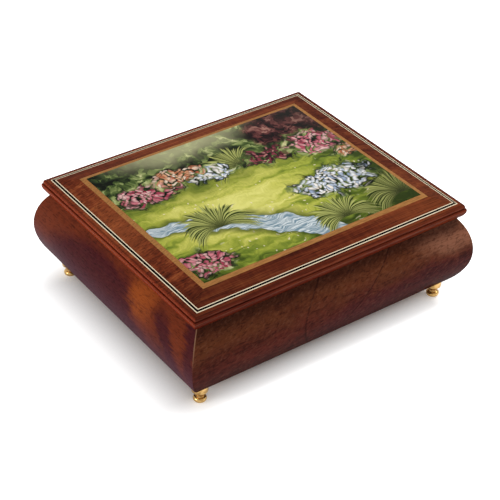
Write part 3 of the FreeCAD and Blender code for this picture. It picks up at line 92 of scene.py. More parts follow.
# Sizes and colours that a user would change
class CaseSettings(bpy.types.PropertyGroup):
    """Bulging walls of the case"""

    base_setback: length("Base setback", 11.0 * MM, "How far the walls draw in at their underside")
    rim_setback: length("Rim setback", 10.3 * MM, "How far the walls draw in at the rim")
    bulge_rise: length("Bulge rise", 24.5 * MM, "Underside of the walls to their widest line")
    corner_round: length("Corner rounding", 0.7 * MM, "Lacquer-rounded mitre corners of the case")
    edge_round: length("Edge rounding", 0.35 * MM, "Broken edges of rim and base")
    dark: tint("Heartwood", "36130d", "Dark streaks of the veneer")
    middle: tint("Red brown", "6c2e22", "Ground colour of the veneer")
    purple: tint("Purple brown", "461a26", "Heartwood low on the walls")
    # Colour of the painted reflection of the floor low on the walls
    painted_reflection: tint("Lilac brown", "6e4a56", "Painted reflection of the floor low on the walls")
    tan: tint("Tan", "9c664e", "Pale sapwood of the long walls")
    amber: tint("Amber", "aa5426", "Pale sapwood of the short walls")
    # Colour of the painted highlights down the corners
    painted_highlight: tint("Edge highlight", "b98f6d", "Painted highlight down the corners")


class LidSettings(bpy.types.PropertyGroup):
    """Moulded rails, inlays and picture of the lid"""

    nose_height: length("Nose height", 5.0 * MM, "Underside of the lid to its nose")
    nose_undercut: length("Nose undercut", 2.5 * MM, "Underside of the lid inside its nose")
    bead_rise: length("Bead rise", 1.2 * MM, "Nose to the top of its bead")
    bead_setback: length("Bead setback", 0.5 * MM, "Top of the bead inside the nose")
    quirk_width: length("Quirk width", 0.6 * MM, "Small step between bead and shoulder")
    shoulder_reach: length("Shoulder reach", 4.6 * MM, "End of the sloping frame outside the stringing")
    shoulder_radius: length("Shoulder radius", 2.4 * MM, "Rounding between step and sloping frame")
    corner_round: length("Corner rounding", 0.8 * MM, "Rounded mitre corners of the lid")
    picture_round: length("Picture edge", 0.2 * MM, "Rounded edges of the picture plate")
    leaf_recess: length("Leaf recess", 0.8 * MM, "Depth of the recess for a hinge leaf")
    frame_slope: FloatProperty(
        name="Frame slope", description="Rise per run of the lid frame", default=0.23
    )
    dark: tint("Mahogany dark", "3a140c", "Dark lines of the rails")
    middle: tint("Mahogany", "74321b", "Ground colour of the rails")
    light: tint("Mahogany light", "a0562f", "Light lines of the rails")
    # Colour of the painted highlights on the moulding's beads
    painted_highlight: tint("Bead highlight", "a8644a", "Painted highlights on the beads of the moulding")
    cream: tint("Holly", "fbe9c8", "White stringing")
    black: tint("Ebony", "0b0705", "Black stringing")
    banding: tint("Satinwood", "b57d47", "Banding round the picture")


class FootSettings(bpy.types.PropertyGroup):
    """Turned brass feet"""

    ball_height: length("Ball height", 3.6 * MM, "Ball above the floor")
    neck_radius: length("Neck radius", 2.8 * MM, "Foot between ball and flange")
    ball_swell: length("Ball swell", 1.5 * MM, "How far the ball stands out beyond the neck")
    flange_thickness: length("Flange thickness", 4.5 * MM, "Flange under the wall")
    flange_round: length("Flange edge", 0.35 * MM, "Broken edges of the flange")
    cove_radius: length("Cove radius", 4.2 * MM, "Hollow between neck and flange")
    brass: tint("Brass", "c6a268", "Polished brass")


class LiningSettings(bpy.types.PropertyGroup):
    """Velvet and boards inside the case"""

    edge_round: length("Board edge", 0.4 * MM, "Rounded edges of boards")
    board: length("Lining board", 1.0 * MM, "Thickness of a velvet-covered board")
    pad_slack: length("Pad slack", 1.3 * MM, "How far a flat pad is cut inside its room before it swells")
    roll_slack: length("Roll slack", 0.7 * MM, "How far a roll is cut inside its room before it swells")
    roll_gap: length("Roll gap", 0.4 * MM, "Between two ring rolls")
    roll_count: IntProperty(name="Ring rolls", description="Rolls side by side", default=6, min=1)
    velvet: tint("Velvet", "5a0f18", "Short pile velvet")
    cedar: tint("Cedar", "9a5a34", "Partition boards")


class StageSettings(bpy.types.PropertyGroup):
    """Camera and floor"""

    azimuth: angle("Azimuth", -36.616, "Camera round the box")
    elevation: angle("Elevation", 35.728, "Camera above the floor")
    roll: angle("Roll", 1.459, "Camera about its axis")
    distance: length("Distance", 952.0 * MM, "Camera to the middle of the stringing")
    slide_right: length("Slide right", -1.785 * MM, "Camera along its own right")
    slide_up: length("Slide up", -37.315 * MM, "Camera along its own up")
    focal: FloatProperty(name="Focal length", description="Camera lens", default=108.0, unit="CAMERA")
    floor: tint("Floor", "f4f4f4", "Pale floor")


# Small tools for meshes
def arc_of(begin, end, radius, turn):
    """Centre and angle of an arc in the (x, z) plane; a turn of 1 bends left and -1 bends right."""
    chord = end - begin
    left = Vector((-chord.z, 0, chord.x)).normalized()
    rise = math.sqrt(max(radius ** 2 - (chord.length / 2) ** 2, 0))
    centre = (begin + end) / 2 + left * (turn * rise)
    return centre, turn * 2 * math.asin(min(chord.length / 2 / radius, 1))


def upright_arc(setback, rise):
    """Radius of an arc that leaves a point upright and draws back over a rise."""
    return (setback ** 2 + rise ** 2) / (2 * setback)


def draw_outline(corners, arc_steps, closed=True):
    """Outline from corners (x, z); a corner (x, z, radius, turn) starts an arc to the next one."""
    bm = bmesh.new()
    points = [Vector((corner[0], 0, corner[1])) for corner in corners]
    pen = bm.verts.new(points[0])
    ends = points[1:] + points[:1] if closed else points[1:]
    for corner, begin, end in zip(corners, points, ends):
        if len(corner) == 2:
            pen = bmesh.ops.extrude_vert_indiv(bm, verts=[pen])["verts"][0]
            pen.co = end
            continue
        centre, turn = arc_of(begin, end, *corner[2:])
        made = bmesh.ops.spin(bm, geom=[pen], cent=centre, axis=(0, -1, 0), angle=turn, steps=arc_steps)
        pen = [part for part in made["geom_last"] if isinstance(part, bmesh.types.BMVert)][0]
    bmesh.ops.remove_doubles(bm, verts=bm.verts, dist=MERGE)
    return bm


def run_round(bm):
    """Carry an outline drawn as (inset, height) round the four corners of the case as one closed frame."""
    to_corner = Matrix(((1, 0, 0, -HALF_X), (1, 0, 0, -HALF_Y), (0, 0, 1, 0), (0, 0, 0, 1)))
    bmesh.ops.transform(bm, matrix=to_corner, verts=bm.verts)
    edges = list(bm.edges)
    for mirror in ((-1, 1, 1), (1, -1, 1), (-1, 1, 1), (1, -1, 1)):
        made = bmesh.ops.extrude_edge_only(bm, edges=edges)["geom"]
        verts = [part for part in made if isinstance(part, bmesh.types.BMVert)]
        lines = [part for part in made if isinstance(part, bmesh.types.BMEdge)]
        edges = [line for line in lines if set(line.verts) <= set(verts)]
        bmesh.ops.scale(bm, vec=mirror, verts=verts)
    bmesh.ops.remove_doubles(bm, verts=bm.verts, dist=MERGE)
    bmesh.ops.recalc_face_normals(bm, faces=bm.faces)


def at_corner(edge):
    """True for an edge of the outline that stands at one corner of a frame."""
    first, second = (vert.co for vert in edge.verts)
    return first.x * second.x > 0 and first.y * second.y > 0


def soften(bm, edges, offset, segments):
    """Round edges off."""
    shape = {"affect": "EDGES", "profile": 0.5, "material": -1, "clamp_overlap": True}
    bmesh.ops.bevel(bm, geom=edges, offset=offset, segments=segments, **shape)


def saw_side(whole, side):
    """One side of a frame, sawn off along its two mitres."""
    bm = whole.copy()
    out_x, out_y = OUTWARD[side]
    for end in (-1, 1):
        along = Vector((end * abs(out_y), end * abs(out_x), 0))
        corner = Vector(((out_x + along.x) * HALF_X, (out_y + along.y) * HALF_Y, 0))
        away = along - Vector((out_x, out_y, 0))
        parts = [*bm.verts, *bm.edges, *bm.faces]
        bmesh.ops.bisect_plane(
            bm, geom=parts, dist=MERGE, plane_co=corner, plane_no=away, clear_outer=True
        )
        bmesh.ops.holes_fill(bm, edges=[edge for edge in bm.edges if edge.is_boundary], sides=0)
    bmesh.ops.recalc_face_normals(bm, faces=bm.faces)
    return bm


def add_block(bm, low, high):
    """Block between two corners."""
    verts = bmesh.ops.create_cube(bm, size=1)["verts"]
    bmesh.ops.scale(bm, vec=high - low, verts=verts)
    bmesh.ops.translate(bm, vec=(low + high) / 2, verts=verts)


def plain_board(low, high, offset, segments=3):
    """Board between two corners with rounded edges."""
    bm = bmesh.new()
    add_block(bm, low, high)
    soften(bm, list(bm.edges), offset, segments)
    return bm


def join(bm, part):
    """Put a finished part into a larger mesh."""
    mesh = bpy.data.meshes.new("part")
    part.to_mesh(mesh)
    part.free()
    bm.from_mesh(mesh)
    bpy.data.meshes.remove(mesh)


def stand(bm, name):
    """Object of a finished mesh, at the origin."""
    mesh = bpy.data.meshes.new(name)
    bm.to_mesh(mesh)
    bm.free()
    piece = bpy.data.objects.new(name, mesh)
    bpy.context.scene.collection.objects.link(piece)
    return piece


def keep(bm, name, body, material, node):
    """Make a finished mesh a piece that rides on its body and stands for its node."""
    for edge in bm.edges:
        edge.smooth = edge.calc_face_angle(0) < SHARP_ANGLE
    for face in bm.faces:
        face.smooth = True
    piece = stand(bm, name)
    piece.data.materials.append(material)
    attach(piece, body)
    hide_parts(node)
    return piece


def settle(piece, modifier):
    """Make the shape that a modifier gives a piece its own."""
    graph = bpy.context.evaluated_depsgraph_get()
    piece.data = bpy.data.meshes.new_from_object(piece.evaluated_get(graph), depsgraph=graph)
    piece.modifiers.remove(modifier)


def let_in_hinges(piece, part, seam):
    """Cut recesses for one part's hinge leaves, open towards the back and the seam of the lid."""
    depth = bpy.context.scene.jewel_box_lid.leaf_recess
    bm = bmesh.new()
    for end in ENDS:
        low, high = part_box(f"hinge_{part}_leaf_{end}")
        add_block(bm, Vector((low.x, low.y, seam - depth)), Vector((high.x, high.y + depth, seam + depth)))
    cutter = stand(bm, "recess")
    cut = piece.modifiers.new("recess", "BOOLEAN")
    cut.operation = "DIFFERENCE"
    cut.solver = "EXACT"
    cut.object = cutter
    settle(piece, cut)
    mesh = cutter.data
    bpy.data.objects.remove(cutter)
    bpy.data.meshes.remove(mesh)


def cloth_block(low, high, step):
    """Closed block between two corners, cut into squares of about one step, ready to be stuffed."""
    bm = bmesh.new()
    add_block(bm, low, high)
    for axis in range(3):
        edges = []
        for edge in bm.edges:
            run = edge.verts[1].co - edge.verts[0].co
            if abs(run[axis]) > ALONG_AXIS * run.length:
                edges.append(edge)
        cuts = max(round((high[axis] - low[axis]) / step) - 1, 1)
        bmesh.ops.subdivide_edges(bm, edges=edges, cuts=cuts, use_grid_fill=True)
    return bm


def stuff(piece, glued, rooms, pressure, reach):
    """Swell a closed cloth: glued points stay, and none moves beyond the reach or out of its room."""
    start = [vert.co.copy() for vert in piece.data.vertices]
    board = piece.vertex_groups.new(name="board")
    board.add([vert.index for vert in piece.data.vertices if glued(vert.co)], 1, "REPLACE")
    cloth = piece.modifiers.new("stuffing", "CLOTH")
    cloth.settings.use_pressure = True
    cloth.settings.uniform_pressure_force = pressure
    cloth.settings.effector_weights.gravity = 0
    cloth.settings.vertex_group_mass = board.name
    for moment in range(1, STUFFING_FRAMES + 1):
        bpy.context.scene.frame_set(moment)
    settle(piece, cloth)
    piece.vertex_groups.clear()
    bpy.context.scene.frame_set(1)
    for vert, begin in zip(piece.data.vertices, start):
        moved = vert.co - begin
        moved.length = min(moved.length, reach)
        low, high = min(rooms, key=lambda room: ((room[0] + room[1]) / 2 - begin).length)
        vert.co = [min(max(at, low[axis]), high[axis]) for axis, at in enumerate(begin + moved)]
    for edge in piece.data.edges:
        edge.use_edge_sharp = False
    rounding = piece.modifiers.new("rounding", "SUBSURF")
    rounding.levels = 1
    rounding.render_levels = 1


def dress(material, *nodes):
    """Give carried-over nodes a finish."""
    for name in nodes:
        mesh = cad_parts[name].data
        mesh.materials.clear()
        mesh.materials.append(material)


# Small tools for materials, with settings that many nodes share
SMOOTH = {"interpolation_type": "SMOOTHSTEP"}
COLORS = {"data_type": "RGBA"}
CELLS = {"feature": "F1", "voronoi_dimensions": "2D"}


def new_finish(name):
    material = bpy.data.materials.new(name)
    material.use_nodes = True
    material.node_tree.nodes.clear()
    return material, material.node_tree


def add(tree, kind, inputs=(), output=None, stops=(), **settings):
    """Add a node with its settings and links, and give an output; inputs go by order or by name."""
    node = tree.nodes.new("ShaderNode" + kind)
    for name, value in settings.items():
        setattr(node, name, value)
    if stops:
        ramp = node.color_ramp.elements
        while len(ramp) < len(stops):
            ramp.new(1)
        for stop, (at, color) in zip(ramp, stops):
            stop.position = at
            stop.color = (*color[:3], 1)
    sockets = [socket for socket in node.inputs if socket.enabled]
    for key, value in inputs.items() if isinstance(inputs, dict) else enumerate(inputs):
        socket = next(found for at, found in enumerate(sockets) if key in (at, found.name))
        if isinstance(value, bpy.types.NodeSocket):
            tree.links.new(value, socket)
        elif socket.type == "RGBA":
            socket.default_value = (*value[:3], 1)
        else:
            socket.default_value = value
    given = [socket for socket in node.outputs if socket.enabled]
    return next((socket for socket in given if socket.name == output), given[0] if given else None)


def in_millimetres(tree, turn=0.0, shift=(0, 0, 0)):
    """Object coordinates in millimetres, turned about the upright axis."""
    place = add(tree, "TexCoord", output="Object")
    return add(tree, "Mapping", (place, shift, (0, 0, turn), (1 / MM,) * 3))


def streaks(tree, place, long, wide, detail=3.0, distortion=0.0):
    """Noise drawn out along X: a patch is about long by wide millimetres."""
    drawn = add(tree, "VectorMath", (place, (1 / long, 1 / wide, 1 / wide)), operation="MULTIPLY")
    inputs = {"Vector": drawn, "Scale": 1.0, "Detail": detail, "Roughness": 0.55, "Distortion": distortion}
    return add(tree, "TexNoise", inputs, "Fac")


def layered(tree, *layers):
    """Sum of grain layers, each with its share."""
    total = 0.0
    for grain, share in layers:
        total = add(tree, "Math", (grain, share, total), operation="MULTIPLY_ADD")
    return total


def lay_tone(tree, color, tone, value, begin, full, share=1.0):
    """Lay a tone over a colour, from none where a value is begin to its share where it is full."""
    cover = add(tree, "MapRange", (value, begin, full, 0.0, share), **SMOOTH)
    return add(tree, "Mix", (cover, color, tone), **COLORS)


def gap_to(tree, value, line):
    """How far a value is from a line, on either side of it."""
    off = add(tree, "Math", (value, line), operation="SUBTRACT")
    return add(tree, "Math", (off,), operation="ABSOLUTE")


def spot(tree, place, x, y, reach_x, reach_y):
    """Distance from the middle of an oval, 1 at its edge."""
    moved = add(tree, "VectorMath", (place, (x, y, 0)), operation="SUBTRACT")
    sized = add(tree, "VectorMath", (moved, (1 / reach_x, 1 / reach_y, 0)), operation="MULTIPLY")
    return add(tree, "VectorMath", (sized,), operation="LENGTH")


def close_finish(tree, inputs):
    """Give a finish its surface from the values and patterns worked out for it."""
    shader = add(tree, "BsdfPrincipled", inputs)
    add(tree, "OutputMaterial", (shader,))


def lacquered(tree, color, relief, coat, roughness=0.3):
    """Polished clear lacquer over a coloured ground."""
    bump = add(tree, "Bump", {"Strength": 0.04, "Distance": 0.1 * MM, "Height": relief})
    inputs = {
        "Base Color": color,
        "Roughness": roughness,
        "IOR": 1.5,
        "Specular IOR Level": 0.0,
        "Coat Weight": coat,
        "Coat Roughness": 0.05,
        "Coat IOR": 1.45,
        "Normal": bump,
    }
    close_finish(tree, inputs)


# Figure of each wall, in millimetres along the wall and above the floor: glow is the colour of its
# sapwood band, which begins at the height warm; heart is an oval of purple heartwood (middle, height,
# half length, half height) with its share; flames are dark bars (middle, half width, lean, top); flare
# is an oval of pale sapwood; seams are dark lines of figure (place, lean, bend); rim, dusk and foot are
# the shares of painted shade under the lid, of a purple-grey painted reflection of the floor low on the
# wall and of painted shade at its foot; speckle is the strength of fine mottling
WALL_FIGURES = {
    "front": {
        "seed": 3.0, "glow": "6c3a22", "warm": 44, "heart": (50, 20, 70, 22), "heart_share": 0.4,
        "flames": (), "flare": (104, 58, 52, 17), "seams": ((-27, 0.0, 0.023), (14.5, 1.1, 0.0)),
        "rim": 0.5, "dusk": 0.1, "foot": 0.7, "speckle": 1.0,
    },
    "left": {
        "seed": 11.0, "glow": "823a22", "warm": 30, "heart": (-18, 32, 54, 26), "heart_share": 0.8,
        "flames": ((61, 6, -0.7, 62), (88, 5, -0.3, 74)), "flare": (33, 56, 17, 20), "seams": (),
        "rim": 0.0, "dusk": 0.8, "foot": 0.0, "speckle": 0.25,
    },
    "back": {
        "seed": 23.0, "glow": "6c3a22", "warm": 44, "heart": (-30, 24, 60, 20), "heart_share": 0.5,
        "flames": (), "flare": (60, 58, 50, 16), "seams": ((22, 0.3, 0.01), (-40, -0.8, 0.0)),
        "rim": 0.3, "dusk": 0.1, "foot": 0.5, "speckle": 1.0,
    },
    "right": {
        "seed": 37.0, "glow": "863c22", "warm": 38, "heart": (20, 28, 42, 22), "heart_share": 0.86,
        "flames": ((-52, 8, 0.5, 62),), "flare": (-24, 54, 22, 20), "seams": ((-8, 0.3, 0.01),),
        "rim": 0.0, "dusk": 0.5, "foot": 0.0, "speckle": 0.25,
    },
}
# How far, in millimetres, the clouds of the wood push its figure along and up the wall, and how far the
# fine lines fringe it
WANDER = 14.0
DRIFT = 24.0
FRINGE = 16.0
# Heights above the floor at which a tone begins and is full: the sapwood, the painted reflection of the
# floor, the painted shade under the lid and at the foot, and the painted highlights on the mitres; the
# sapwood's are above its height warm
SAPWOOD_FADE = (4.0, 22.0)
PAINTED_REFLECTION_FADE = (48.0, 20.0)
PAINTED_RIM_SHADE_FADE = (52.0, 60.0)
PAINTED_FOOT_SHADE_FADE = (36.0, 15.0)
MITRE_HIGHLIGHT_FADE = (38.0, 56.0)
# Flames: height at which their places are given, fade below their top, fade of their sides outside and
# inside their half width, and share
FLAME_LEVEL = 46.0
FLAME_FADE = 12.0
FLAME_SIDES = (4.0, -2.5)
FLAME_SHARE = 0.8
# Seams: height at which their places are given, distances at which they begin and are full, and share
SEAM_LEVEL = 36.0
SEAM_SIDES = (1.1, 0.3)
SEAM_SHARE = 0.6
# Painted highlights on the mitres: distances at which they begin and are full, how far below the rim they
# end, and share
MITRE_HIGHLIGHT_SIDES = (0.6, 0.3)
MITRE_HIGHLIGHT_END = 0.6
MITRE_HIGHLIGHT_SHARE = 0.55


def walnut_veneer(side):
    """Sliced walnut under lacquer: streaks along the wall, pale sapwood above, purple heartwood low."""
    case = bpy.context.scene.jewel_box_case
    figure = WALL_FIGURES[side]
    material, tree = new_finish(f"walnut_veneer_{side}")
    plain = in_millimetres(tree, GRAIN_TURN[side])
    place = in_millimetres(tree, GRAIN_TURN[side], (0, figure["seed"], 0))
    along = add(tree, "SeparateXYZ", (plain,), "X")
    height = add(tree, "SeparateXYZ", (plain,), "Z")
    broad = streaks(tree, place, 45, 9, distortion=0.8)
    fine = streaks(tree, place, 18, 1.2, detail=4.0, distortion=0.5)
    mottle = streaks(tree, place, 4, 9, distortion=0.8)
    cloud = streaks(tree, place, 30, 22, distortion=0.7)
    lines = layered(tree, (broad, 0.36), (fine, 0.36), (mottle, 0.28))
    drift = add(tree, "Math", (cloud, DRIFT, height), operation="MULTIPLY_ADD")
    wander = add(tree, "Math", (cloud, WANDER, along), operation="MULTIPLY_ADD")
    fringe = add(tree, "Math", (fine, FRINGE, -FRINGE / 2), operation="MULTIPLY_ADD")
    wander = add(tree, "Math", (wander, fringe), operation="ADD")

    color = lay_tone(tree, case.dark, case.middle, lines, 0.3, 0.6)
    begin, full = (figure["warm"] + rise for rise in SAPWOOD_FADE)
    sapwood = add(tree, "MapRange", (drift, begin, full), **SMOOTH)
    color = lay_tone(tree, color, linear(figure["glow"]), lines, 0.26, 0.54, sapwood)
    color = veneer_flames(tree, figure["flames"], color, height, wander)
    oval = add(tree, "CombineXYZ", (wander, drift))
    far = veneer_oval(tree, oval, *figure["heart"])
    color = lay_tone(tree, color, case.purple, far, 1.2, 0.8, figure["heart_share"])
    far = veneer_oval(tree, oval, *figure["flare"])
    flare = add(tree, "MapRange", (far, 1.1, 0.3), **SMOOTH)
    pale = case.tan if side in ("front", "back") else case.amber
    color = lay_tone(tree, color, pale, lines, 0.28, 0.56, flare)
    # Painted reflection of the floor: a purple-grey tone over the lower wall
    color = lay_tone(tree, color, case.painted_reflection, height, *PAINTED_REFLECTION_FADE, figure["dusk"])
    # Painted shade under the lid: darker towards the rim
    color = lay_tone(tree, color, case.dark, height, *PAINTED_RIM_SHADE_FADE, figure["rim"])
    # Painted shade on the under-curve of the wall: darker towards its foot
    color = lay_tone(tree, color, case.dark, height, *PAINTED_FOOT_SHADE_FADE, figure["foot"])
    color = veneer_seams(tree, figure["seams"], color, along, height)
    color = veneer_pores(tree, place, color, figure["speckle"])
    # Painted highlights down the upper half of the corners
    color = painted_mitre_highlights(tree, color)
    lacquered(tree, color, fine, coat=0.055)
    return material


def veneer_oval(tree, oval, middle, level, half_long, half_high):
    """Distance from an oval of the figure, whose place the clouds push about."""
    return spot(tree, oval, middle + WANDER / 2, level + DRIFT / 2, half_long, half_high)


def veneer_flames(tree, flames, color, height, wander):
    """Dark bars that rise from the foot of a wall with a lean and a ragged edge."""
    purple = bpy.context.scene.jewel_box_case.purple
    for middle, half, lean, top in flames:
        bent = add(tree, "Math", (height, -lean, wander), operation="MULTIPLY_ADD")
        gap = gap_to(tree, bent, middle + WANDER / 2 - FLAME_LEVEL * lean)
        share = add(tree, "MapRange", (height, top, top - FLAME_FADE, 0.0, FLAME_SHARE), **SMOOTH)
        begin, full = (half + beyond for beyond in FLAME_SIDES)
        color = lay_tone(tree, color, purple, gap, begin, full, share)
    return color


def veneer_seams(tree, seams, color, along, height):
    """Thin dark lines of figure that cross a wall from rim to foot."""
    dark = bpy.context.scene.jewel_box_case.dark
    rise = add(tree, "Math", (height, SEAM_LEVEL), operation="SUBTRACT")
    for middle, slant, bend in seams:
        turn = add(tree, "Math", (rise, bend, slant), operation="MULTIPLY_ADD")
        push = add(tree, "Math", (rise, turn), operation="MULTIPLY")
        lean = add(tree, "Math", (along, push), operation="SUBTRACT")
        gap = gap_to(tree, lean, middle)
        color = lay_tone(tree, color, dark, gap, *SEAM_SIDES, SEAM_SHARE)
    return color


def veneer_pores(tree, place, color, strength):
    """Dark pores along the grain and a fine slanted mottling."""
    case = bpy.context.scene.jewel_box_case
    pores = streaks(tree, place, 4, 0.6, distortion=0.4)
    slanted = add(tree, "Mapping", {"Vector": place, "Rotation": (0, math.radians(32), 0)})
    speckle = streaks(tree, slanted, 3.4, 1.3, distortion=0.5)
    color = lay_tone(tree, color, linear("1a0806"), pores, 0.5, 0.7, 0.5)
    color = lay_tone(tree, color, case.dark, speckle, 0.48, 0.3, 0.5 * strength)
    return lay_tone(tree, color, case.tan, speckle, 0.52, 0.7, 0.2 * strength)


def painted_mitre_highlights(tree, color):
    """Painted highlights: pale lines down the upper half of the corners."""
    painted_highlight = bpy.context.scene.jewel_box_case.painted_highlight
    place = add(tree, "VectorMath", (in_millimetres(tree),), operation="ABSOLUTE")
    across = add(tree, "SeparateXYZ", (place,), "X")
    deep = add(tree, "SeparateXYZ", (place,), "Y")
    height = add(tree, "SeparateXYZ", (place,), "Z")
    off = add(tree, "Math", (across, deep), operation="SUBTRACT")
    gap = gap_to(tree, off, (HALF_X - HALF_Y) / MM)
    rim = RIM / MM
    upper = add(tree, "MapRange", (height, *MITRE_HIGHLIGHT_FADE, 0.0, MITRE_HIGHLIGHT_SHARE), **SMOOTH)
    below_rim = add(tree, "MapRange", (height, rim, rim - MITRE_HIGHLIGHT_END), **SMOOTH)
    share = add(tree, "Math", (upper, below_rim), operation="MULTIPLY")
    return lay_tone(tree, color, painted_highlight, gap, *MITRE_HIGHLIGHT_SIDES, share)


# Figure and painted light of each rail, in millimetres along it: shade is its share of the dark tone, a
# painted shade over the whole rail; dark_end is where its dark end begins and is full, with its share;
# light is a paler stretch (middle, half length, share); edge is the colour of its moulding, lighter on the
# left rail as painted light
RAIL_FIGURES = {
    "front": {"shade": 0.22, "dark_end": (40, -80, 0.36), "light": (80, 60, 0.3), "edge": "762818"},
    "back": {"shade": 0.05, "dark_end": (40, 90, 0.1), "light": (-20, 60, 0.2), "edge": "762818"},
    "left": {"shade": 0.0, "dark_end": (44, 84, 0.75), "light": (-12, 48, 0.5), "edge": "b04224"},
    "right": {"shade": 0.42, "dark_end": (-40, -84, 0.1), "light": (60, 50, 0.2), "edge": "762818"},
}
# How far the grain of one rail is shifted from that of the next, in millimetres
RAIL_SHIFT = 17.0
# Painted shade and highlight lines of the moulding: height above the bead, half width, share, and whether
# it is a highlight
PAINTED_MOULDING_LINES = (
    (-1.4, 0.7, 0.3, True),
    (0.1, 0.45, 0.65, False),
    (1.3, 0.6, 0.25, True),
    (2.5, 0.22, 0.55, False),
)
# Heights above the bead at which the colour of the moulding begins and is full
MOULDING_FADE = (3.2, 1.5)


def mahogany(side):
    """Straight-grained mahogany, lacquered, lines along the long front; painted shade in quirks, painted
    highlights on beads.
    """
    lid = bpy.context.scene.jewel_box_lid
    figure = RAIL_FIGURES[side]
    material, tree = new_finish(f"mahogany_{side}")
    place = in_millimetres(tree, 0.0, (RAIL_SHIFT * SIDES.index(side), 0, 0))
    along = add(tree, "SeparateXYZ", (in_millimetres(tree, GRAIN_TURN[side]),), "X")
    broad = streaks(tree, place, 90, 6, distortion=0.4)
    fine = streaks(tree, place, 55, 1.1, detail=4.0, distortion=0.3)
    ribs = streaks(tree, place, 2.4, 14, detail=2.0, distortion=0.4)
    pores = streaks(tree, place, 16, 0.7, distortion=0.2)
    lines = layered(tree, (broad, 0.42), (fine, 0.42), (ribs, 0.16))
    stops = ((0.36, lid.dark), (0.5, lid.middle), (0.65, lid.light))
    color = add(tree, "ValToRGB", (lines,), "Color", stops)
    # Painted shade: the whole rail darkened by its share of the dark tone
    color = add(tree, "Mix", (figure["shade"], color, lid.dark), **COLORS)
    color = lay_tone(tree, color, lid.dark, along, *figure["dark_end"])
    middle, half, share = figure["light"]
    color = lay_tone(tree, color, lid.light, gap_to(tree, along, middle), half, 0.0, share)
    # Moulding in its edge tone, lighter on the left rail as painted light
    color = moulding(tree, color, linear(figure["edge"]))
    color = lay_tone(tree, color, linear("220a06"), pores, 0.5, 0.68, 0.6)
    lacquered(tree, color, fine, coat=0.075)
    return material


def moulding(tree, color, edge):
    """Edge of the lid in its own tone, with lines of painted shade in its quirks and of painted highlight
    on its beads.
    """
    lid = bpy.context.scene.jewel_box_lid
    height = add(tree, "SeparateXYZ", (in_millimetres(tree),), "Z")
    bead = (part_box("lid_rail_front")[0].z + lid.nose_height + lid.bead_rise) / MM
    begin, full = (bead + rise for rise in MOULDING_FADE)
    color = lay_tone(tree, color, edge, height, begin, full, 0.6)
    # Painted shade lines in the quirks and painted highlight lines on the beads
    for rise, half, share, highlighted in PAINTED_MOULDING_LINES:
        gap = gap_to(tree, height, bead + rise)
        tone = lid.painted_highlight if highlighted else lid.dark
        color = lay_tone(tree, color, tone, gap, half, 0.4 * half, share)
    return color


def inlay_wood(name, color, kept_light):
    """Close-grained inlay wood under lacquer; its faint lines keep a share of the ground's light."""
    material, tree = new_finish(name)
    lines = streaks(tree, in_millimetres(tree), 6, 0.6, distortion=0.2)
    darker = tuple(share * kept_light for share in color)
    lacquered(tree, lay_tone(tree, color, darker, lines, 0.35, 0.7), lines, coat=0.08)
    return material


# Sizes of patterns in the metals and the velvet, in millimetres; lathe lines, grinding lines, cast grain
# and pile are drawn coarser than real ones, so that they show
LATHE_LONG = 20
LATHE_FINE = 0.25
GRINDING_LONG = 12
GRINDING_FINE = 0.25
SMEAR = 2.5
CAST_GRAIN = 0.455
PILE = 0.4
CRUSHED_PATCH = 11.1


def polished_brass(name, roughness):
    """Turned and polished brass: warm mirror with faint lathe lines and handling smears."""
    foot = bpy.context.scene.jewel_box_feet
    material, tree = new_finish(name)
    place = in_millimetres(tree)
    rings = (1 / LATHE_LONG, 1 / LATHE_LONG, 1 / LATHE_FINE)
    drawn = add(tree, "VectorMath", (place, rings), operation="MULTIPLY")
    lathe = add(tree, "TexNoise", {"Vector": drawn, "Scale": 1.0, "Detail": 2.0}, "Fac")
    smear = add(tree, "TexNoise", {"Vector": place, "Scale": 1 / SMEAR, "Detail": 3.0}, "Fac")
    color = lay_tone(tree, foot.brass, linear("94703c"), smear, 0.4, 0.75)
    gloss = add(tree, "Math", (smear, 0.12, roughness - 0.05), operation="MULTIPLY_ADD")
    bump = add(tree, "Bump", {"Strength": 0.05, "Distance": 0.05 * MM, "Height": lathe})
    inputs = {"Base Color": color, "Metallic": 1.0, "Roughness": gloss, "Normal": bump}
    close_finish(tree, inputs)
    return material


def brushed_steel():
    """Ground and tempered steel: grey metal with fine grinding lines."""
    material, tree = new_finish("ground_steel")
    lines = streaks(tree, in_millimetres(tree), GRINDING_LONG, GRINDING_FINE, detail=2.0)
    color = add(tree, "Mix", (lines, linear("8d9096"), linear("c9ccd0")), **COLORS)
    gloss = add(tree, "Math", (lines, 0.2, 0.18), operation="MULTIPLY_ADD")
    inputs = {"Base Color": color, "Metallic": 1.0, "Roughness": gloss}
    close_finish(tree, inputs)
    return material


def cast_zinc():
    """Die-cast zinc with a gold lacquer: satin metal with a fine cast grain."""
    material, tree = new_finish("gold_lacquered_zinc")
    place = in_millimetres(tree)
    grain = add(tree, "TexNoise", {"Vector": place, "Scale": 1 / CAST_GRAIN, "Detail": 4.0}, "Fac")
    color = add(tree, "Mix", (grain, linear("b99a55"), linear("d8bd7d")), **COLORS)
    bump = add(tree, "Bump", {"Strength": 0.15, "Distance": 0.1 * MM, "Height": grain})
    inputs = {"Base Color": color, "Metallic": 0.85, "Roughness": 0.38, "Normal": bump}
    close_finish(tree, inputs)
    return material


def clear_acrylic():
    """Clear acrylic sheet: nearly invisible, with glossy faces and a few fine scratches."""
    material, tree = new_finish("clear_acrylic")
    lines = streaks(tree, in_millimetres(tree), 30, 0.3, detail=2.0)
    gloss = add(tree, "MapRange", (lines, 0.6, 0.8, 0.02, 0.1), **SMOOTH)
    inputs = {"Base Color": linear("f7fbfb"), "Roughness": gloss, "IOR": 1.49, "Transmission Weight": 1.0}
    close_finish(tree, inputs)
    return material


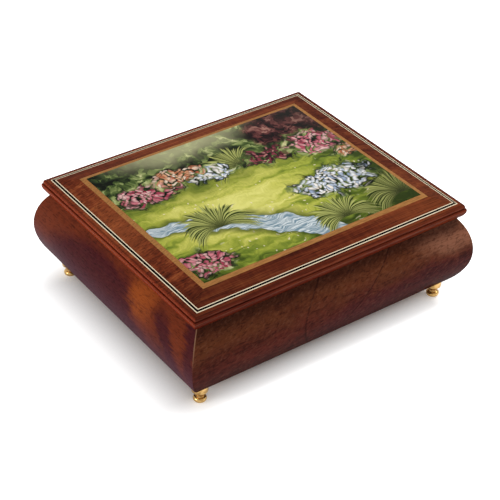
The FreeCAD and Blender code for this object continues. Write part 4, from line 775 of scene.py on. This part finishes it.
def velvet():
    """Short-pile velvet: deep colour with a pale sheen and crushed patches."""
    lining = bpy.context.scene.jewel_box_lining
    material, tree = new_finish("short_pile_velvet")
    place = in_millimetres(tree)
    pile = add(tree, "TexNoise", {"Vector": place, "Scale": 1 / PILE, "Detail": 2.0}, "Fac")
    crush = add(tree, "TexNoise", {"Vector": place, "Scale": 1 / CRUSHED_PATCH, "Detail": 2.0}, "Fac")
    color = lay_tone(tree, lining.velvet, linear("3c080f"), crush, 0.35, 0.7)
    tips = add(tree, "Math", (pile, 0.35), operation="MULTIPLY")
    color = add(tree, "Mix", (tips, color, linear("8a2a34")), **COLORS)
    bump = add(tree, "Bump", {"Strength": 0.35, "Distance": 0.2 * MM, "Height": pile})
    inputs = {
        "Base Color": color,
        "Roughness": 0.9,
        "Specular IOR Level": 0.1,
        "Sheen Weight": 0.7,
        "Sheen Roughness": 0.35,
        "Sheen Tint": linear("d98088"),
        "Normal": bump,
    }
    close_finish(tree, inputs)
    return material


def satin_wood(name, light, dark, turn=0.0):
    """Plain boards with a thin satin varnish and straight grain."""
    material, tree = new_finish(name)
    place = in_millimetres(tree, turn)
    lines = streaks(tree, place, 60, 2, detail=4.0, distortion=0.5)
    pores = streaks(tree, place, 6, 0.4, detail=2.0)
    color = lay_tone(tree, dark, light, lines, 0.35, 0.65)
    color = lay_tone(tree, color, tuple(share * 0.4 for share in dark), pores, 0.6, 0.75)
    bump = add(tree, "Bump", {"Strength": 0.1, "Distance": 0.1 * MM, "Height": lines})
    inputs = {"Base Color": color, "Roughness": 0.45, "Specular IOR Level": 0.4, "Normal": bump}
    close_finish(tree, inputs)
    return material


def shades(*stops):
    """Stops of a colour ramp from their places and hex codes."""
    return tuple((at, linear(code)) for at, code in stops)


# Colours of the print, each from one end of its range to the other
PALETTES = {
    "white": shades((0.0, "8fa4c4"), (0.35, "dfe6ee"), (0.7, "ffffff"), (1.0, "efe3cf")),
    "pink": shades((0.0, "a23148"), (0.4, "dd7f8c"), (0.75, "f5c9c2"), (1.0, "c2566a")),
    "peach": shades((0.0, "b5603c"), (0.4, "eaae84"), (0.75, "fbe6cf"), (1.0, "d98f7a")),
    "wine": shades((0.0, "2e0d13"), (0.45, "642530"), (0.8, "9c4650"), (1.0, "cf948a")),
    "copper": shades((0.2, "150809"), (0.42, "3a1a1c"), (0.62, "6b3a37"), (0.85, "a8786a")),
    "green": shades(
        (0.2, "0e140a"), (0.42, "26331a"), (0.6, "4d5f2e"), (0.78, "8c995a"), (0.95, "cdcf94")
    ),
    "grass": shades(
        (0.0, "e6e28a"), (0.3, "cccb68"), (0.55, "a3ac46"), (0.8, "6f822f"), (1.0, "3c4d1c")
    ),
}
# Flower clumps of the print: middle, reach and palette, in millimetres on the plate
CLUMPS = (
    (-58, 30, 24, 11, "pink"),
    (-14, 27, 15, 8, "white"),
    (30, 25, 20, 9, "wine"),
    (-34, 38, 17, 9, "peach"),
    (80, 4, 13, 8, "peach"),
    (66, 22, 18, 14, "pink"),
    (50, -22, 25, 14, "white"),
    (-70, -52, 16, 12, "pink"),
)
# Grass tufts of the print: foot and reach
TUFTS = ((-42, -26, 26), (30, -60, 24), (76, -58, 28), (8, 24, 24))
# Ovals of the print: middle and reach of the sunny grass, the copper bush, the haze and the pale middle
SUNNY_GRASS = (-22, -14, 112, 66)
COPPER_BUSH = (62, 50, 34, 22)
HAZE = (-12, 70, 60, 26)
PALE_MIDDLE = (-22, 8, 112, 96)
# Heights on the plate at which the hedge and its shade on the grass begin and are full
HEDGE_FADE = (22, 30)
HEDGE_SHADE = (4, 26)
# The brook: where it enters, its fall by the square of its run, its half width there and how that grows
BROOK_START = (-90, -8)
BROOK_FALL = 0.0052
BROOK_HALF = 3.5
BROOK_GROWTH = 0.1
# Sizes of the brush marks in millimetres: green leaves, copper leaves, flowers, and the spacing of daisies
GREEN_LEAF = 2.6
COPPER_LEAF = 2.2
FLOWER = 2.6
DAISY_SPACING = 3.4
# How far up and across the print a leaf is compared with its neighbour to find its lit side
LIT_SIDE = (1.5, 5.0, 0)


def wobbled(tree, place, patch, reach):
    """Places pushed about by a share of a reach, patch by patch, as a loaded brush wanders."""
    push = add(tree, "TexNoise", {"Vector": place, "Scale": 1 / patch, "Detail": 2.0}, "Color")
    push = add(tree, "VectorMath", (push, (0.5, 0.5, 0.5)), operation="SUBTRACT")
    push = add(tree, "VectorMath", (push, (reach, reach, 0)), operation="MULTIPLY")
    return add(tree, "VectorMath", (place, push), operation="ADD")


def foliage(tree, place, leaf, palette):
    """Leaf dabs of a size in millimetres, in clumps that are lit from above."""
    dab = add(tree, "TexVoronoi", {"Vector": place, "Scale": 1 / leaf}, "Color", **CELLS)
    tone = add(tree, "SeparateColor", (dab,), "Red")
    above = add(tree, "VectorMath", (place, LIT_SIDE), operation="ADD")
    mass = streaks(tree, place, 15, 15, distortion=0.3)
    lit = add(tree, "Math", (mass, streaks(tree, above, 15, 15, distortion=0.3)), operation="SUBTRACT")
    share = add(tree, "Math", (lit, 1.9, 0.3), operation="MULTIPLY_ADD")
    share = add(tree, "Math", (tone, 0.36, share), operation="MULTIPLY_ADD")
    return add(tree, "ValToRGB", (share,), "Color", PALETTES[palette])


def lawn(tree, place):
    """Grass in the sun: a pale pool of light, darker towards the corners, in long soft dabs."""
    dabs = streaks(tree, place, 30, 7, detail=4.0, distortion=0.5)
    shade = add(tree, "Math", (dabs, 1.5, -0.75), operation="MULTIPLY_ADD")
    share = add(tree, "Math", (spot(tree, place, *SUNNY_GRASS), shade), operation="ADD")
    color = add(tree, "ValToRGB", (share,), "Color", PALETTES["grass"])
    blades = streaks(tree, place, 1, 4, distortion=0.3)
    light = add(tree, "Mix", (blades, linear("26300f"), linear("fbf7cf")), **COLORS)
    return add(tree, "Mix", (0.4, color, light), blend_type="OVERLAY", **COLORS)


def daisies(tree, place, color):
    """Small pale flowers, thrown over the grass in drifts."""
    spacing = {"Vector": place, "Scale": 1 / DAISY_SPACING}
    gap = add(tree, "TexVoronoi", spacing, "Distance", **CELLS)
    chance = add(tree, "SeparateColor", (add(tree, "TexVoronoi", spacing, "Color", **CELLS),), "Red")
    drifts = streaks(tree, place, 34, 18, detail=2.0, distortion=0.3)
    chance = add(tree, "Math", (chance, drifts), operation="MULTIPLY")
    share = add(tree, "MapRange", (chance, 0.42, 0.48, 0.0, 0.75), **SMOOTH)
    return lay_tone(tree, color, linear("f3e7c2"), gap, 0.24, 0.14, share)


def brook(tree, place, color):
    """Water that bends down from the left edge, between dark banks, with pale ripples."""
    across = add(tree, "SeparateXYZ", (place,), "X")
    upward = add(tree, "SeparateXYZ", (place,), "Y")
    start, level = BROOK_START
    run = add(tree, "Math", (across, start), operation="SUBTRACT")
    square = add(tree, "Math", (run, run), operation="MULTIPLY")
    course = add(tree, "Math", (square, BROOK_FALL, upward), operation="MULTIPLY_ADD")
    half = add(tree, "Math", (run, BROOK_GROWTH, BROOK_HALF), operation="MULTIPLY_ADD")
    off = add(tree, "Math", (gap_to(tree, course, level), half), operation="DIVIDE")
    ripple = streaks(tree, place, 9, 1, distortion=0.3)
    water = lay_tone(tree, linear("6f8c9c"), linear("e4ebec"), ripple, 0.36, 0.68)
    color = lay_tone(tree, color, linear("3a4a1e"), off, 1.9, 0.9, 0.8)
    return lay_tone(tree, color, water, off, 1.02, 0.88)


def tuft(tree, place, color, x, y, reach):
    """Long blades that spread from a foot and droop at their ends."""
    moved = add(tree, "VectorMath", (place, (x, y, 0)), operation="SUBTRACT")
    across = add(tree, "SeparateXYZ", (moved,), "X")
    upward = add(tree, "SeparateXYZ", (moved,), "Y")
    droop = add(tree, "Math", (across, across), operation="MULTIPLY")
    tall = add(tree, "Math", (droop, 1.1 / reach, upward), operation="MULTIPLY_ADD")
    lean = add(tree, "Math", (across, tall), operation="ARCTAN2")
    far = spot(tree, place, x, y, reach, reach)
    blades = {"W": lean, "Scale": 9.0, "Detail": 3.0, "Roughness": 0.7}
    blade = add(tree, "TexNoise", blades, "Fac", noise_dimensions="1D")
    tone = add(tree, "TexNoise", {"W": lean, "Scale": 23.0, "Detail": 1.0}, "Fac", noise_dimensions="1D")
    green = lay_tone(tree, linear("2c3a14"), linear("b9bd6c"), tone, 0.38, 0.62)
    green = lay_tone(tree, green, linear("1a240d"), far, 0.5, 0.05, 0.8)
    spread = add(tree, "MapRange", (gap_to(tree, lean, 0.0), 1.5, 1.2), **SMOOTH)
    ragged = add(tree, "Math", (blade, -1.3, far), operation="MULTIPLY_ADD")
    return lay_tone(tree, color, green, ragged, 0.26, 0.16, spread)


def flower_clumps(tree, bent, brushed, leaves, color):
    """Clumps of round flowers among leaves, with ragged edges."""
    petals = {"Vector": wobbled(tree, bent, patch=3.0, reach=1.6), "Scale": 1 / FLOWER}
    gap = add(tree, "TexVoronoi", petals, "Distance", **CELLS)
    hue = add(tree, "SeparateColor", (add(tree, "TexVoronoi", petals, "Color", **CELLS),), "Green")
    ragged = streaks(tree, brushed, 9, 9)
    inside = add(tree, "MapRange", (gap, 0.66, 0.44), **SMOOTH)
    for x, y, reach_x, reach_y, palette in CLUMPS:
        far = spot(tree, bent, x, y, reach_x, reach_y)
        far = add(tree, "Math", (ragged, -1.6, far), operation="MULTIPLY_ADD")
        flower = add(tree, "ValToRGB", (hue,), "Color", PALETTES[palette])
        shaded = lay_tone(tree, flower, linear("2a1c26"), gap, 0.1, 0.6, 0.55)
        color = lay_tone(tree, color, leaves, far, 0.5, 0.25)
        color = lay_tone(tree, color, shaded, far, 0.28, 0.05, inside)
    return color, hue


def printed_meadow():
    """Varnished print in loose dabs under gloss lacquer: a brook in a flower meadow below a hedge."""
    material, tree = new_finish("varnished_print")
    place = in_millimetres(tree)
    bent = wobbled(tree, place, patch=14, reach=16)
    brushed = wobbled(tree, bent, patch=2.2, reach=3.4)
    swayed = wobbled(tree, place, patch=8, reach=2)
    upward = add(tree, "SeparateXYZ", (brushed,), "Y")
    leaves = foliage(tree, brushed, GREEN_LEAF, "green")
    copper = foliage(tree, brushed, COPPER_LEAF, "copper")
    color = daisies(tree, bent, lawn(tree, bent))
    color = brook(tree, bent, color)
    color = lay_tone(tree, color, linear("3b4a1f"), upward, *HEDGE_SHADE, 0.6)
    color = lay_tone(tree, color, leaves, upward, *HEDGE_FADE)
    color = lay_tone(tree, color, copper, spot(tree, brushed, *COPPER_BUSH), 1.05, 0.8)
    color = lay_tone(tree, color, linear("cdcb9c"), spot(tree, bent, *HAZE), 1.1, 0.3, 0.66)
    for foot_and_reach in TUFTS:
        color = tuft(tree, swayed, color, *foot_and_reach)
    color, hue = flower_clumps(tree, bent, brushed, leaves, color)
    color = lay_tone(tree, color, linear("171c0c"), spot(tree, place, *PALE_MIDDLE), 0.7, 1.15, 0.5)
    lacquered(tree, color, hue, coat=0.1, roughness=0.35)
    return material


# Steps of the arcs in the sections of walls, rails and feet, and of a foot's turning
WALL_ARC_STEPS = 22
RAIL_ARC_STEPS = 8
FOOT_ARC_STEPS = 9
FOOT_TURN_STEPS = 40


# Operators, one for each piece or group of like pieces
class JEWELBOX_OT_walls(bpy.types.Operator):
    """Bulging veneered walls, mitred at the corners"""

    bl_idname = "jewel_box.walls"
    bl_label = "Walls"

    def execute(self, context):
        case = context.scene.jewel_box_case
        board_low, board_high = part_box("bottom_board")
        middle = BASE + case.bulge_rise
        deep = HALF_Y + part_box("front_wall")[1].y
        rabbet = HALF_Y + board_low.y
        outline = [
            (case.base_setback, BASE, upright_arc(case.base_setback, case.bulge_rise), -1),
            (0, middle, upright_arc(case.rim_setback, RIM - middle), -1),
            (case.rim_setback, RIM),
            (deep, RIM),
            (deep, board_high.z),
            (rabbet, board_high.z),
            (rabbet, BASE),
        ]
        bm = draw_outline(outline, WALL_ARC_STEPS)
        run_round(bm)
        long_edges = [edge for edge in bm.edges if not at_corner(edge)]
        broken = [edge for edge in long_edges if edge.calc_face_angle_signed(0) > SHARP_ANGLE]
        soften(bm, broken, case.edge_round, segments=2)
        soften(bm, [edge for edge in bm.edges if at_corner(edge)], case.corner_round, segments=3)
        for side in SIDES:
            wall = saw_side(bm, side)
            finish = walnut_veneer(side)
            piece = keep(wall, f"{side}_veneered_wall", "case", finish, f"{side}_wall")
            if side == "back":
                let_in_hinges(piece, "case", RIM)
        bm.free()
        return {"FINISHED"}


class JEWELBOX_OT_rails(bpy.types.Operator):
    """Moulded lid rails with a groove for the stringing"""

    bl_idname = "jewel_box.rails"
    bl_label = "Lid rails"

    def execute(self, context):
        lid = context.scene.jewel_box_lid
        low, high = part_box("lid_rail_front")
        bm = draw_outline(self.outline(lid, low, high), RAIL_ARC_STEPS)
        run_round(bm)
        soften(bm, [edge for edge in bm.edges if at_corner(edge)], lid.corner_round, segments=3)
        for side in SIDES:
            rail = saw_side(bm, side)
            finish = mahogany(side)
            piece = keep(rail, f"{side}_moulded_rail", "lid", finish, f"lid_rail_{side}")
            if side == "back":
                let_in_hinges(piece, "lid", low.z)
        bm.free()
        return {"FINISHED"}

    def outline(self, lid, low, high):
        """Section of a rail as (inset from the widest line of the case, height), underside first."""
        panel_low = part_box("lid_panel")[0]
        black_low, black_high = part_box("black_stringing")
        groove = HALF_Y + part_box("outer_white_stringing")[0].y
        black_edge = HALF_Y + black_low.y
        inner_edge = HALF_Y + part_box("inner_white_stringing")[0].y
        middle = (black_edge + inner_edge) / 2
        far_groove = inner_edge + black_edge - groove
        level = black_high.z - (inner_edge - middle) * lid.frame_slope
        panel, ledge = HALF_Y + panel_low.y, HALF_Y + high.y
        nose_inset, nose = HALF_Y + low.y, low.z + lid.nose_height
        bead_inset, bead_top = nose_inset + lid.bead_setback, nose + lid.bead_rise
        shoulder = middle - lid.shoulder_reach

        def slope(inset):
            return level + (inset - middle) * lid.frame_slope

        return [
            (nose_inset + lid.nose_undercut, low.z, upright_arc(lid.nose_undercut, lid.nose_height), -1),
            (nose_inset, nose, upright_arc(lid.bead_setback, lid.bead_rise), -1),
            (bead_inset, bead_top),
            (bead_inset + lid.quirk_width, bead_top, lid.shoulder_radius, -1),
            (shoulder, slope(shoulder)),
            (groove, slope(groove)),
            (groove, black_low.z),
            (far_groove, black_low.z),
            (far_groove, slope(far_groove)),
            (panel, slope(panel)),
            (panel, panel_low.z),
            (ledge, panel_low.z),
            (ledge, low.z),
        ]


class JEWELBOX_OT_inlays(bpy.types.Operator):
    """Stringing, banding and the board under the picture"""

    bl_idname = "jewel_box.inlays"
    bl_label = "Inlays"

    def execute(self, context):
        lid = context.scene.jewel_box_lid
        holly = inlay_wood("holly", lid.cream, kept_light=0.92)
        dress(holly, "outer_white_stringing", "inner_white_stringing")
        ebony = inlay_wood("ebony", lid.black, kept_light=0.5)
        dress(ebony, "black_stringing")
        satinwood = inlay_wood("satinwood", lid.banding, kept_light=0.62)
        dress(satinwood, "golden_banding")
        ply = satin_wood("birch_ply", linear("b98a5a"), linear("94653a"))
        dress(ply, "lid_panel", "bottom_board")
        return {"FINISHED"}


class JEWELBOX_OT_picture(bpy.types.Operator):
    """Picture plate let into the lid"""

    bl_idname = "jewel_box.picture"
    bl_label = "Picture"

    def execute(self, context):
        lid = context.scene.jewel_box_lid
        bm = plain_board(*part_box("picture_plate"), lid.picture_round, segments=2)
        keep(bm, "printed_picture", "lid", printed_meadow(), "picture_plate")
        return {"FINISHED"}


class JEWELBOX_OT_feet(bpy.types.Operator):
    """Turned brass feet under the corners"""

    bl_idname = "jewel_box.feet"
    bl_label = "Feet"

    def execute(self, context):
        foot = context.scene.jewel_box_feet
        brass = polished_brass("turned_brass", roughness=0.13)
        for corner in ("front_left", "front_right", "back_left", "back_right"):
            low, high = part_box(f"foot_{corner}")
            middle = (low + high) / 2
            bm = self.turned(foot, (high.x - low.x) / 2)
            bmesh.ops.translate(bm, vec=(middle.x, middle.y, 0), verts=bm.verts)
            keep(bm, f"brass_foot_{corner}", "case", brass, f"foot_{corner}")
        return {"FINISHED"}

    def turned(self, foot, flange):
        """Foot turned about the upright axis: ball, cove and flange."""
        ball = ((foot.ball_height / 2) ** 2 + foot.ball_swell ** 2) / (2 * foot.ball_swell)
        profile = [
            (0, 0),
            (foot.neck_radius, 0, ball, 1),
            (foot.neck_radius, foot.ball_height, foot.cove_radius, -1),
            (flange, BASE - foot.flange_thickness),
            (flange, BASE),
            (0, BASE),
        ]
        bm = draw_outline(profile, FOOT_ARC_STEPS, closed=False)
        turn = {"cent": (0, 0, 0), "axis": (0, 0, 1), "angle": math.tau, "use_merge": True}
        bmesh.ops.spin(bm, geom=[*bm.verts, *bm.edges], steps=FOOT_TURN_STEPS, **turn)
        bmesh.ops.remove_doubles(bm, verts=bm.verts, dist=MERGE)
        bmesh.ops.recalc_face_normals(bm, faces=bm.faces)
        sharp = [edge for edge in bm.edges if edge.calc_face_angle(0) > SHARP_ANGLE]
        rims = [edge for edge in sharp if edge.verts[0].co.xy.length > flange - MERGE]
        soften(bm, rims, foot.flange_round, segments=3)
        return bm


class JEWELBOX_OT_boards(bpy.types.Operator):
    """Partitions and the strip under the cover"""

    bl_idname = "jewel_box.boards"
    bl_label = "Partition boards"

    def execute(self, context):
        lining = context.scene.jewel_box_lining
        grain = linear("6d3a20")
        across = satin_wood("cedar_across", lining.cedar, grain)
        along = satin_wood("cedar_along", lining.cedar, grain, GRAIN_TURN["left"])
        for node, name, wood in (
            ("long_partition", "long_divider", along),
            ("cross_partition", "cross_divider", across),
            ("cover_ledge", "cover_strip", across),
        ):
            bm = plain_board(*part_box(node), lining.edge_round)
            keep(bm, name, "case", wood, node)
        return {"FINISHED"}


# Squares of the cloth, the free edge of a pad outside its glued middle, how far a cloth may swell, and the
# pressure of its stuffing
PAD_STEP = 3 * MM
ROLL_STEP = 2 * MM
PAD_MARGIN = 12 * MM
PAD_REACH = 1.6 * MM
ROLL_REACH = 1.1 * MM
PAD_PRESSURE = 0.4
ROLL_PRESSURE = 4.0
# How much a roll narrows at its top before it is stuffed
ROLL_TAPER = 0.8


class JEWELBOX_OT_linings(bpy.types.Operator):
    """Velvet lining boards, floor cushion, ring cushions and lid padding"""

    bl_idname = "jewel_box.linings"
    bl_label = "Velvet linings"

    def execute(self, context):
        lining = context.scene.jewel_box_lining
        cloth = velvet()
        self.line_bay(lining, cloth)
        self.stuff_pad("jewel_pad", "floor_cushion", "case", -1, lining, cloth)
        self.stuff_pad("lid_lining", "lid_padding", "lid", 1, lining, cloth)
        self.stuff_rolls(lining, cloth)
        return {"FINISHED"}

    def line_bay(self, lining, cloth):
        """Four thin boards against the walls of the bay, the one at the partition as high as that."""
        low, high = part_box("jewel_bay_lining")
        inner_low, inner_high = low + Vector((lining.board,) * 3), high - Vector((lining.board,) * 3)
        step_down = min(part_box("long_partition")[1].z, high.z)
        bm = bmesh.new()
        for board_low, board_high in (
            (low, Vector((high.x, inner_low.y, high.z))),
            (Vector((low.x, inner_high.y, low.z)), high),
            (Vector((low.x, inner_low.y, low.z)), Vector((inner_low.x, inner_high.y, step_down))),
            (Vector((inner_high.x, inner_low.y, low.z)), Vector((high.x, inner_high.y, high.z))),
        ):
            join(bm, plain_board(board_low, board_high, lining.edge_round))
        keep(bm, "bay_lining_boards", "case", cloth, "jewel_bay_lining")

    def stuff_pad(self, node, name, body, board_side, lining, cloth):
        """Flat pad glued by the middle of one face, so that its free edges pull in between the corners."""
        low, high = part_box(node)
        slack = Vector((lining.pad_slack * 0.5, lining.pad_slack * 0.5, 0))
        cut_low, cut_high = low + slack, high - slack
        if board_side < 0:
            cut_high.z -= lining.pad_slack
            glue = cut_low.z
        else:
            cut_low.z += lining.pad_slack
            glue = cut_high.z

        def glued(point):
            held = abs(point.z - glue) < MERGE
            return held and all(
                cut_low[at] + PAD_MARGIN < point[at] < cut_high[at] - PAD_MARGIN for at in (0, 1)
            )

        piece = keep(cloth_block(cut_low, cut_high, PAD_STEP), name, body, cloth, node)
        stuff(piece, glued, [(low, high)], PAD_PRESSURE, PAD_REACH)

    def stuff_rolls(self, lining, cloth):
        """Ring rolls with rounded tops, glued to the floor side by side."""
        low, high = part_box("ring_rolls")
        pitch = (high.y - low.y + lining.roll_gap) / lining.roll_count
        slack = Vector((lining.roll_slack,) * 3)
        bm = bmesh.new()
        rooms = []
        for index in range(lining.roll_count):
            begin = low.y + index * pitch
            end = begin + pitch - lining.roll_gap
            room = Vector((low.x, begin, low.z)), Vector((high.x, end, high.z))
            cut_low, cut_high = room[0] + slack, room[1] - slack
            cut_low.z = low.z
            join(bm, self.round_top(cloth_block(cut_low, cut_high, ROLL_STEP), cut_low, cut_high))
            rooms.append(room)
        piece = keep(bm, "ring_cushions", "case", cloth, "ring_rolls")
        stuff(piece, lambda point: point.z < low.z + MERGE, rooms, ROLL_PRESSURE, ROLL_REACH)

    def round_top(self, roll, low, high):
        """Draw the upper part of a roll in towards its middle."""
        half = (high.y - low.y) / 2
        middle = (low.y + high.y) / 2
        for vert in roll.verts:
            above = max(vert.co.z - (high.z - half), 0) / half
            vert.co.y = middle + (vert.co.y - middle) * math.sqrt(1 - ROLL_TAPER * above ** 2)
        return roll


class JEWELBOX_OT_hinges(bpy.types.Operator):
    """Brass leaves and screws of the butt hinges"""

    bl_idname = "jewel_box.hinges"
    bl_label = "Hinges"

    def execute(self, context):
        brass = polished_brass("hinge_brass", roughness=0.2)
        for end in ENDS:
            dress(brass, f"hinge_case_leaf_{end}", f"hinge_lid_leaf_{end}")
        dress(brass, "hinge_screws_case", "hinge_screws_lid")
        return {"FINISHED"}


class JEWELBOX_OT_movement(bpy.types.Operator):
    """Pinned cylinder, comb, gears, spring barrel and cover, with all steel pins and screws"""

    bl_idname = "jewel_box.movement"
    bl_label = "Movement"

    def execute(self, context):
        brass = polished_brass("wheel_brass", roughness=0.18)
        dress(brass, "pin_cylinder", "cylinder_wheel", "worm_wheel", "winding_key", "spring_barrel")
        dress(brass, "barrel_cover", "governor_fan")
        steel = brushed_steel()
        dress(steel, "hinge_pin_left", "hinge_pin_right", "plate_screws", "mount_screws", "comb")
        dress(steel, "winding_arbor", "mainspring", "cylinder_arbor", "cylinder_pinion", "governor_arbor")
        dress(steel, "governor_pinion", "worm_arbor", "stop_rod")
        dress(cast_zinc(), "bedplate", "left_bracket", "right_bracket", "governor_cock", "comb_riser")
        dress(clear_acrylic(), "movement_cover")
        return {"FINISHED"}


# Camera sensor in millimetres, and the floor's reach from the box in metres
SENSOR_WIDTH = 36
FLOOR_REACH = 6
# Half the length and depth, in millimetres, of the floor that keeps its full shadow, and the lengths
# beyond it over which the floor is lifted to white for the eye
SHADOW_CORE = (89, 69, 0)
SHADOW_FADE = (30, 19.5)
LIFT_SLOPE = 0.75
# Lamps: place and size in metres, power in watts, all aimed at the middle of the box
LAMPS = {
    "overhead": {"place": (0.78, -0.06, 1.1), "size": 0.5, "power": 11.0},
    "left_fill": {"place": (-1.15, 0.1, 0.5), "size": 0.5, "power": 4.2},
    "front_fill": {"place": (0.3, -1.2, 0.7), "size": 1.2, "power": 1.2},
}
LAMP_AIM = Vector((0, 0, 0.04))
# Strength of the white surround where it lights the box
SURROUND_LIGHT = 0.3


def in_sight(tree):
    """1 where the eye, a mirror or a clear sheet looks, and 0 where light falls on the box."""
    camera = add(tree, "LightPath", output="Is Camera Ray")
    glossy = add(tree, "LightPath", output="Is Glossy Ray")
    through = add(tree, "LightPath", output="Is Transmission Ray")
    seen = add(tree, "Math", (camera, glossy), operation="MAXIMUM")
    return add(tree, "Math", (seen, through), operation="MAXIMUM")


def pale_floor(color):
    """Matt pale floor, lifted to white for the eye away from the box, where its shadow has faded."""
    material, tree = new_finish("pale_floor")
    diffuse = add(tree, "BsdfDiffuse", {"Color": color})
    beyond = add(tree, "VectorMath", (in_millimetres(tree),), operation="ABSOLUTE")
    beyond = add(tree, "VectorMath", (beyond, SHADOW_CORE), operation="SUBTRACT")
    beyond = add(tree, "VectorMath", (beyond, (0, 0, 0)), operation="MAXIMUM")
    fade = (1 / SHADOW_FADE[0], 1 / SHADOW_FADE[1], 0)
    beyond = add(tree, "VectorMath", (beyond, fade), operation="MULTIPLY")
    away = add(tree, "VectorMath", (beyond,), operation="LENGTH")
    lift = add(tree, "Math", (away, LIFT_SLOPE), operation="MULTIPLY", use_clamp=True)
    strength = add(tree, "Math", (in_sight(tree), lift), operation="MULTIPLY")
    glow = add(tree, "Emission", {"Color": (1, 1, 1), "Strength": strength})
    shader = add(tree, "AddShader", (diffuse, glow))
    add(tree, "OutputMaterial", (shader,))
    return material


class JEWELBOX_OT_stage(bpy.types.Operator):
    """Camera, pale floor, lamps and white surround"""

    bl_idname = "jewel_box.stage"
    bl_label = "Stage"

    def execute(self, context):
        scene = context.scene
        scene.view_settings.view_transform = "Standard"
        self.place_camera(scene)
        self.lay_floor(scene)
        self.hang_lamps(scene)
        self.light_surround(scene)
        return {"FINISHED"}

    def place_camera(self, scene):
        stage = scene.jewel_box_stage
        turn, tilt = stage.azimuth, stage.elevation
        flat = math.cos(tilt)
        back = Vector((math.sin(turn) * flat, -math.cos(turn) * flat, math.sin(tilt)))
        right = Vector((math.cos(turn), math.sin(turn), 0))
        up = back.cross(right)
        rolled_right = right * math.cos(stage.roll) + up * math.sin(stage.roll)
        rolled_up = up * math.cos(stage.roll) - right * math.sin(stage.roll)
        aim = Vector((0, 0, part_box("black_stringing")[1].z))
        slide = rolled_right * stage.slide_right + rolled_up * stage.slide_up
        axes = Matrix((rolled_right, rolled_up, back)).transposed().to_4x4()
        lens = bpy.data.cameras.new("camera")
        lens.lens = stage.focal
        lens.sensor_width = SENSOR_WIDTH
        camera = bpy.data.objects.new("camera", lens)
        scene.collection.objects.link(camera)
        camera.matrix_world = Matrix.Translation(aim + back * stage.distance + slide) @ axes
        scene.camera = camera

    def lay_floor(self, scene):
        bm = bmesh.new()
        bmesh.ops.create_grid(bm, x_segments=1, y_segments=1, size=FLOOR_REACH)
        floor = stand(bm, "floor")
        floor.data.materials.append(pale_floor(scene.jewel_box_stage.floor))

    def hang_lamps(self, scene):
        for name, lamp in LAMPS.items():
            light = bpy.data.lights.new(name, "AREA")
            light.shape = "SQUARE"
            light.size = lamp["size"]
            light.energy = lamp["power"]
            hung = bpy.data.objects.new(name, light)
            scene.collection.objects.link(hung)
            hung.location = lamp["place"]
            hung.rotation_euler = (LAMP_AIM - hung.location).to_track_quat("-Z", "Y").to_euler()

    def light_surround(self, scene):
        """White for the eye, and a low even light on the box."""
        scene.world = bpy.data.worlds.new("white_surround")
        scene.world.use_nodes = True
        tree = scene.world.node_tree
        tree.nodes.clear()
        shares = (in_sight(tree), 1 - SURROUND_LIGHT, SURROUND_LIGHT)
        strength = add(tree, "Math", shares, operation="MULTIPLY_ADD")
        surround = add(tree, "Background", {"Color": (1, 1, 1), "Strength": strength})
        add(tree, "OutputWorld", {"Surface": surround})


OPERATORS = (
    JEWELBOX_OT_walls,
    JEWELBOX_OT_rails,
    JEWELBOX_OT_inlays,
    JEWELBOX_OT_picture,
    JEWELBOX_OT_feet,
    JEWELBOX_OT_boards,
    JEWELBOX_OT_linings,
    JEWELBOX_OT_hinges,
    JEWELBOX_OT_movement,
    JEWELBOX_OT_stage,
)
SETTINGS = {
    "jewel_box_case": CaseSettings,
    "jewel_box_lid": LidSettings,
    "jewel_box_feet": FootSettings,
    "jewel_box_lining": LiningSettings,
    "jewel_box_stage": StageSettings,
}


class JEWELBOX_PT_sidebar(bpy.types.Panel):
    """Pieces and settings of the jewel box"""

    bl_idname = "JEWELBOX_PT_sidebar"
    bl_label = "Jewel Box"
    bl_space_type = "VIEW_3D"
    bl_region_type = "UI"
    bl_category = "Jewel Box"

    def draw(self, context):
        for operator in OPERATORS:
            self.layout.operator(operator.bl_idname)
        for name, group in SETTINGS.items():
            box = self.layout.box()
            box.label(text=group.__doc__)
            for key in group.__annotations__:
                box.prop(getattr(context.scene, name), key)


def register():
    for group in (*SETTINGS.values(), *OPERATORS, JEWELBOX_PT_sidebar):
        bpy.utils.register_class(group)
    for name, group in SETTINGS.items():
        setattr(bpy.types.Scene, name, PointerProperty(type=group))


def unregister():
    for name in SETTINGS:
        delattr(bpy.types.Scene, name)
    for group in (JEWELBOX_PT_sidebar, *reversed(OPERATORS), *reversed(SETTINGS.values())):
        bpy.utils.unregister_class(group)


def main():
    register()
    for operator in OPERATORS:
        getattr(bpy.ops.jewel_box, operator.bl_idname.split(".")[1])()


if __name__ == "__main__":
    main()
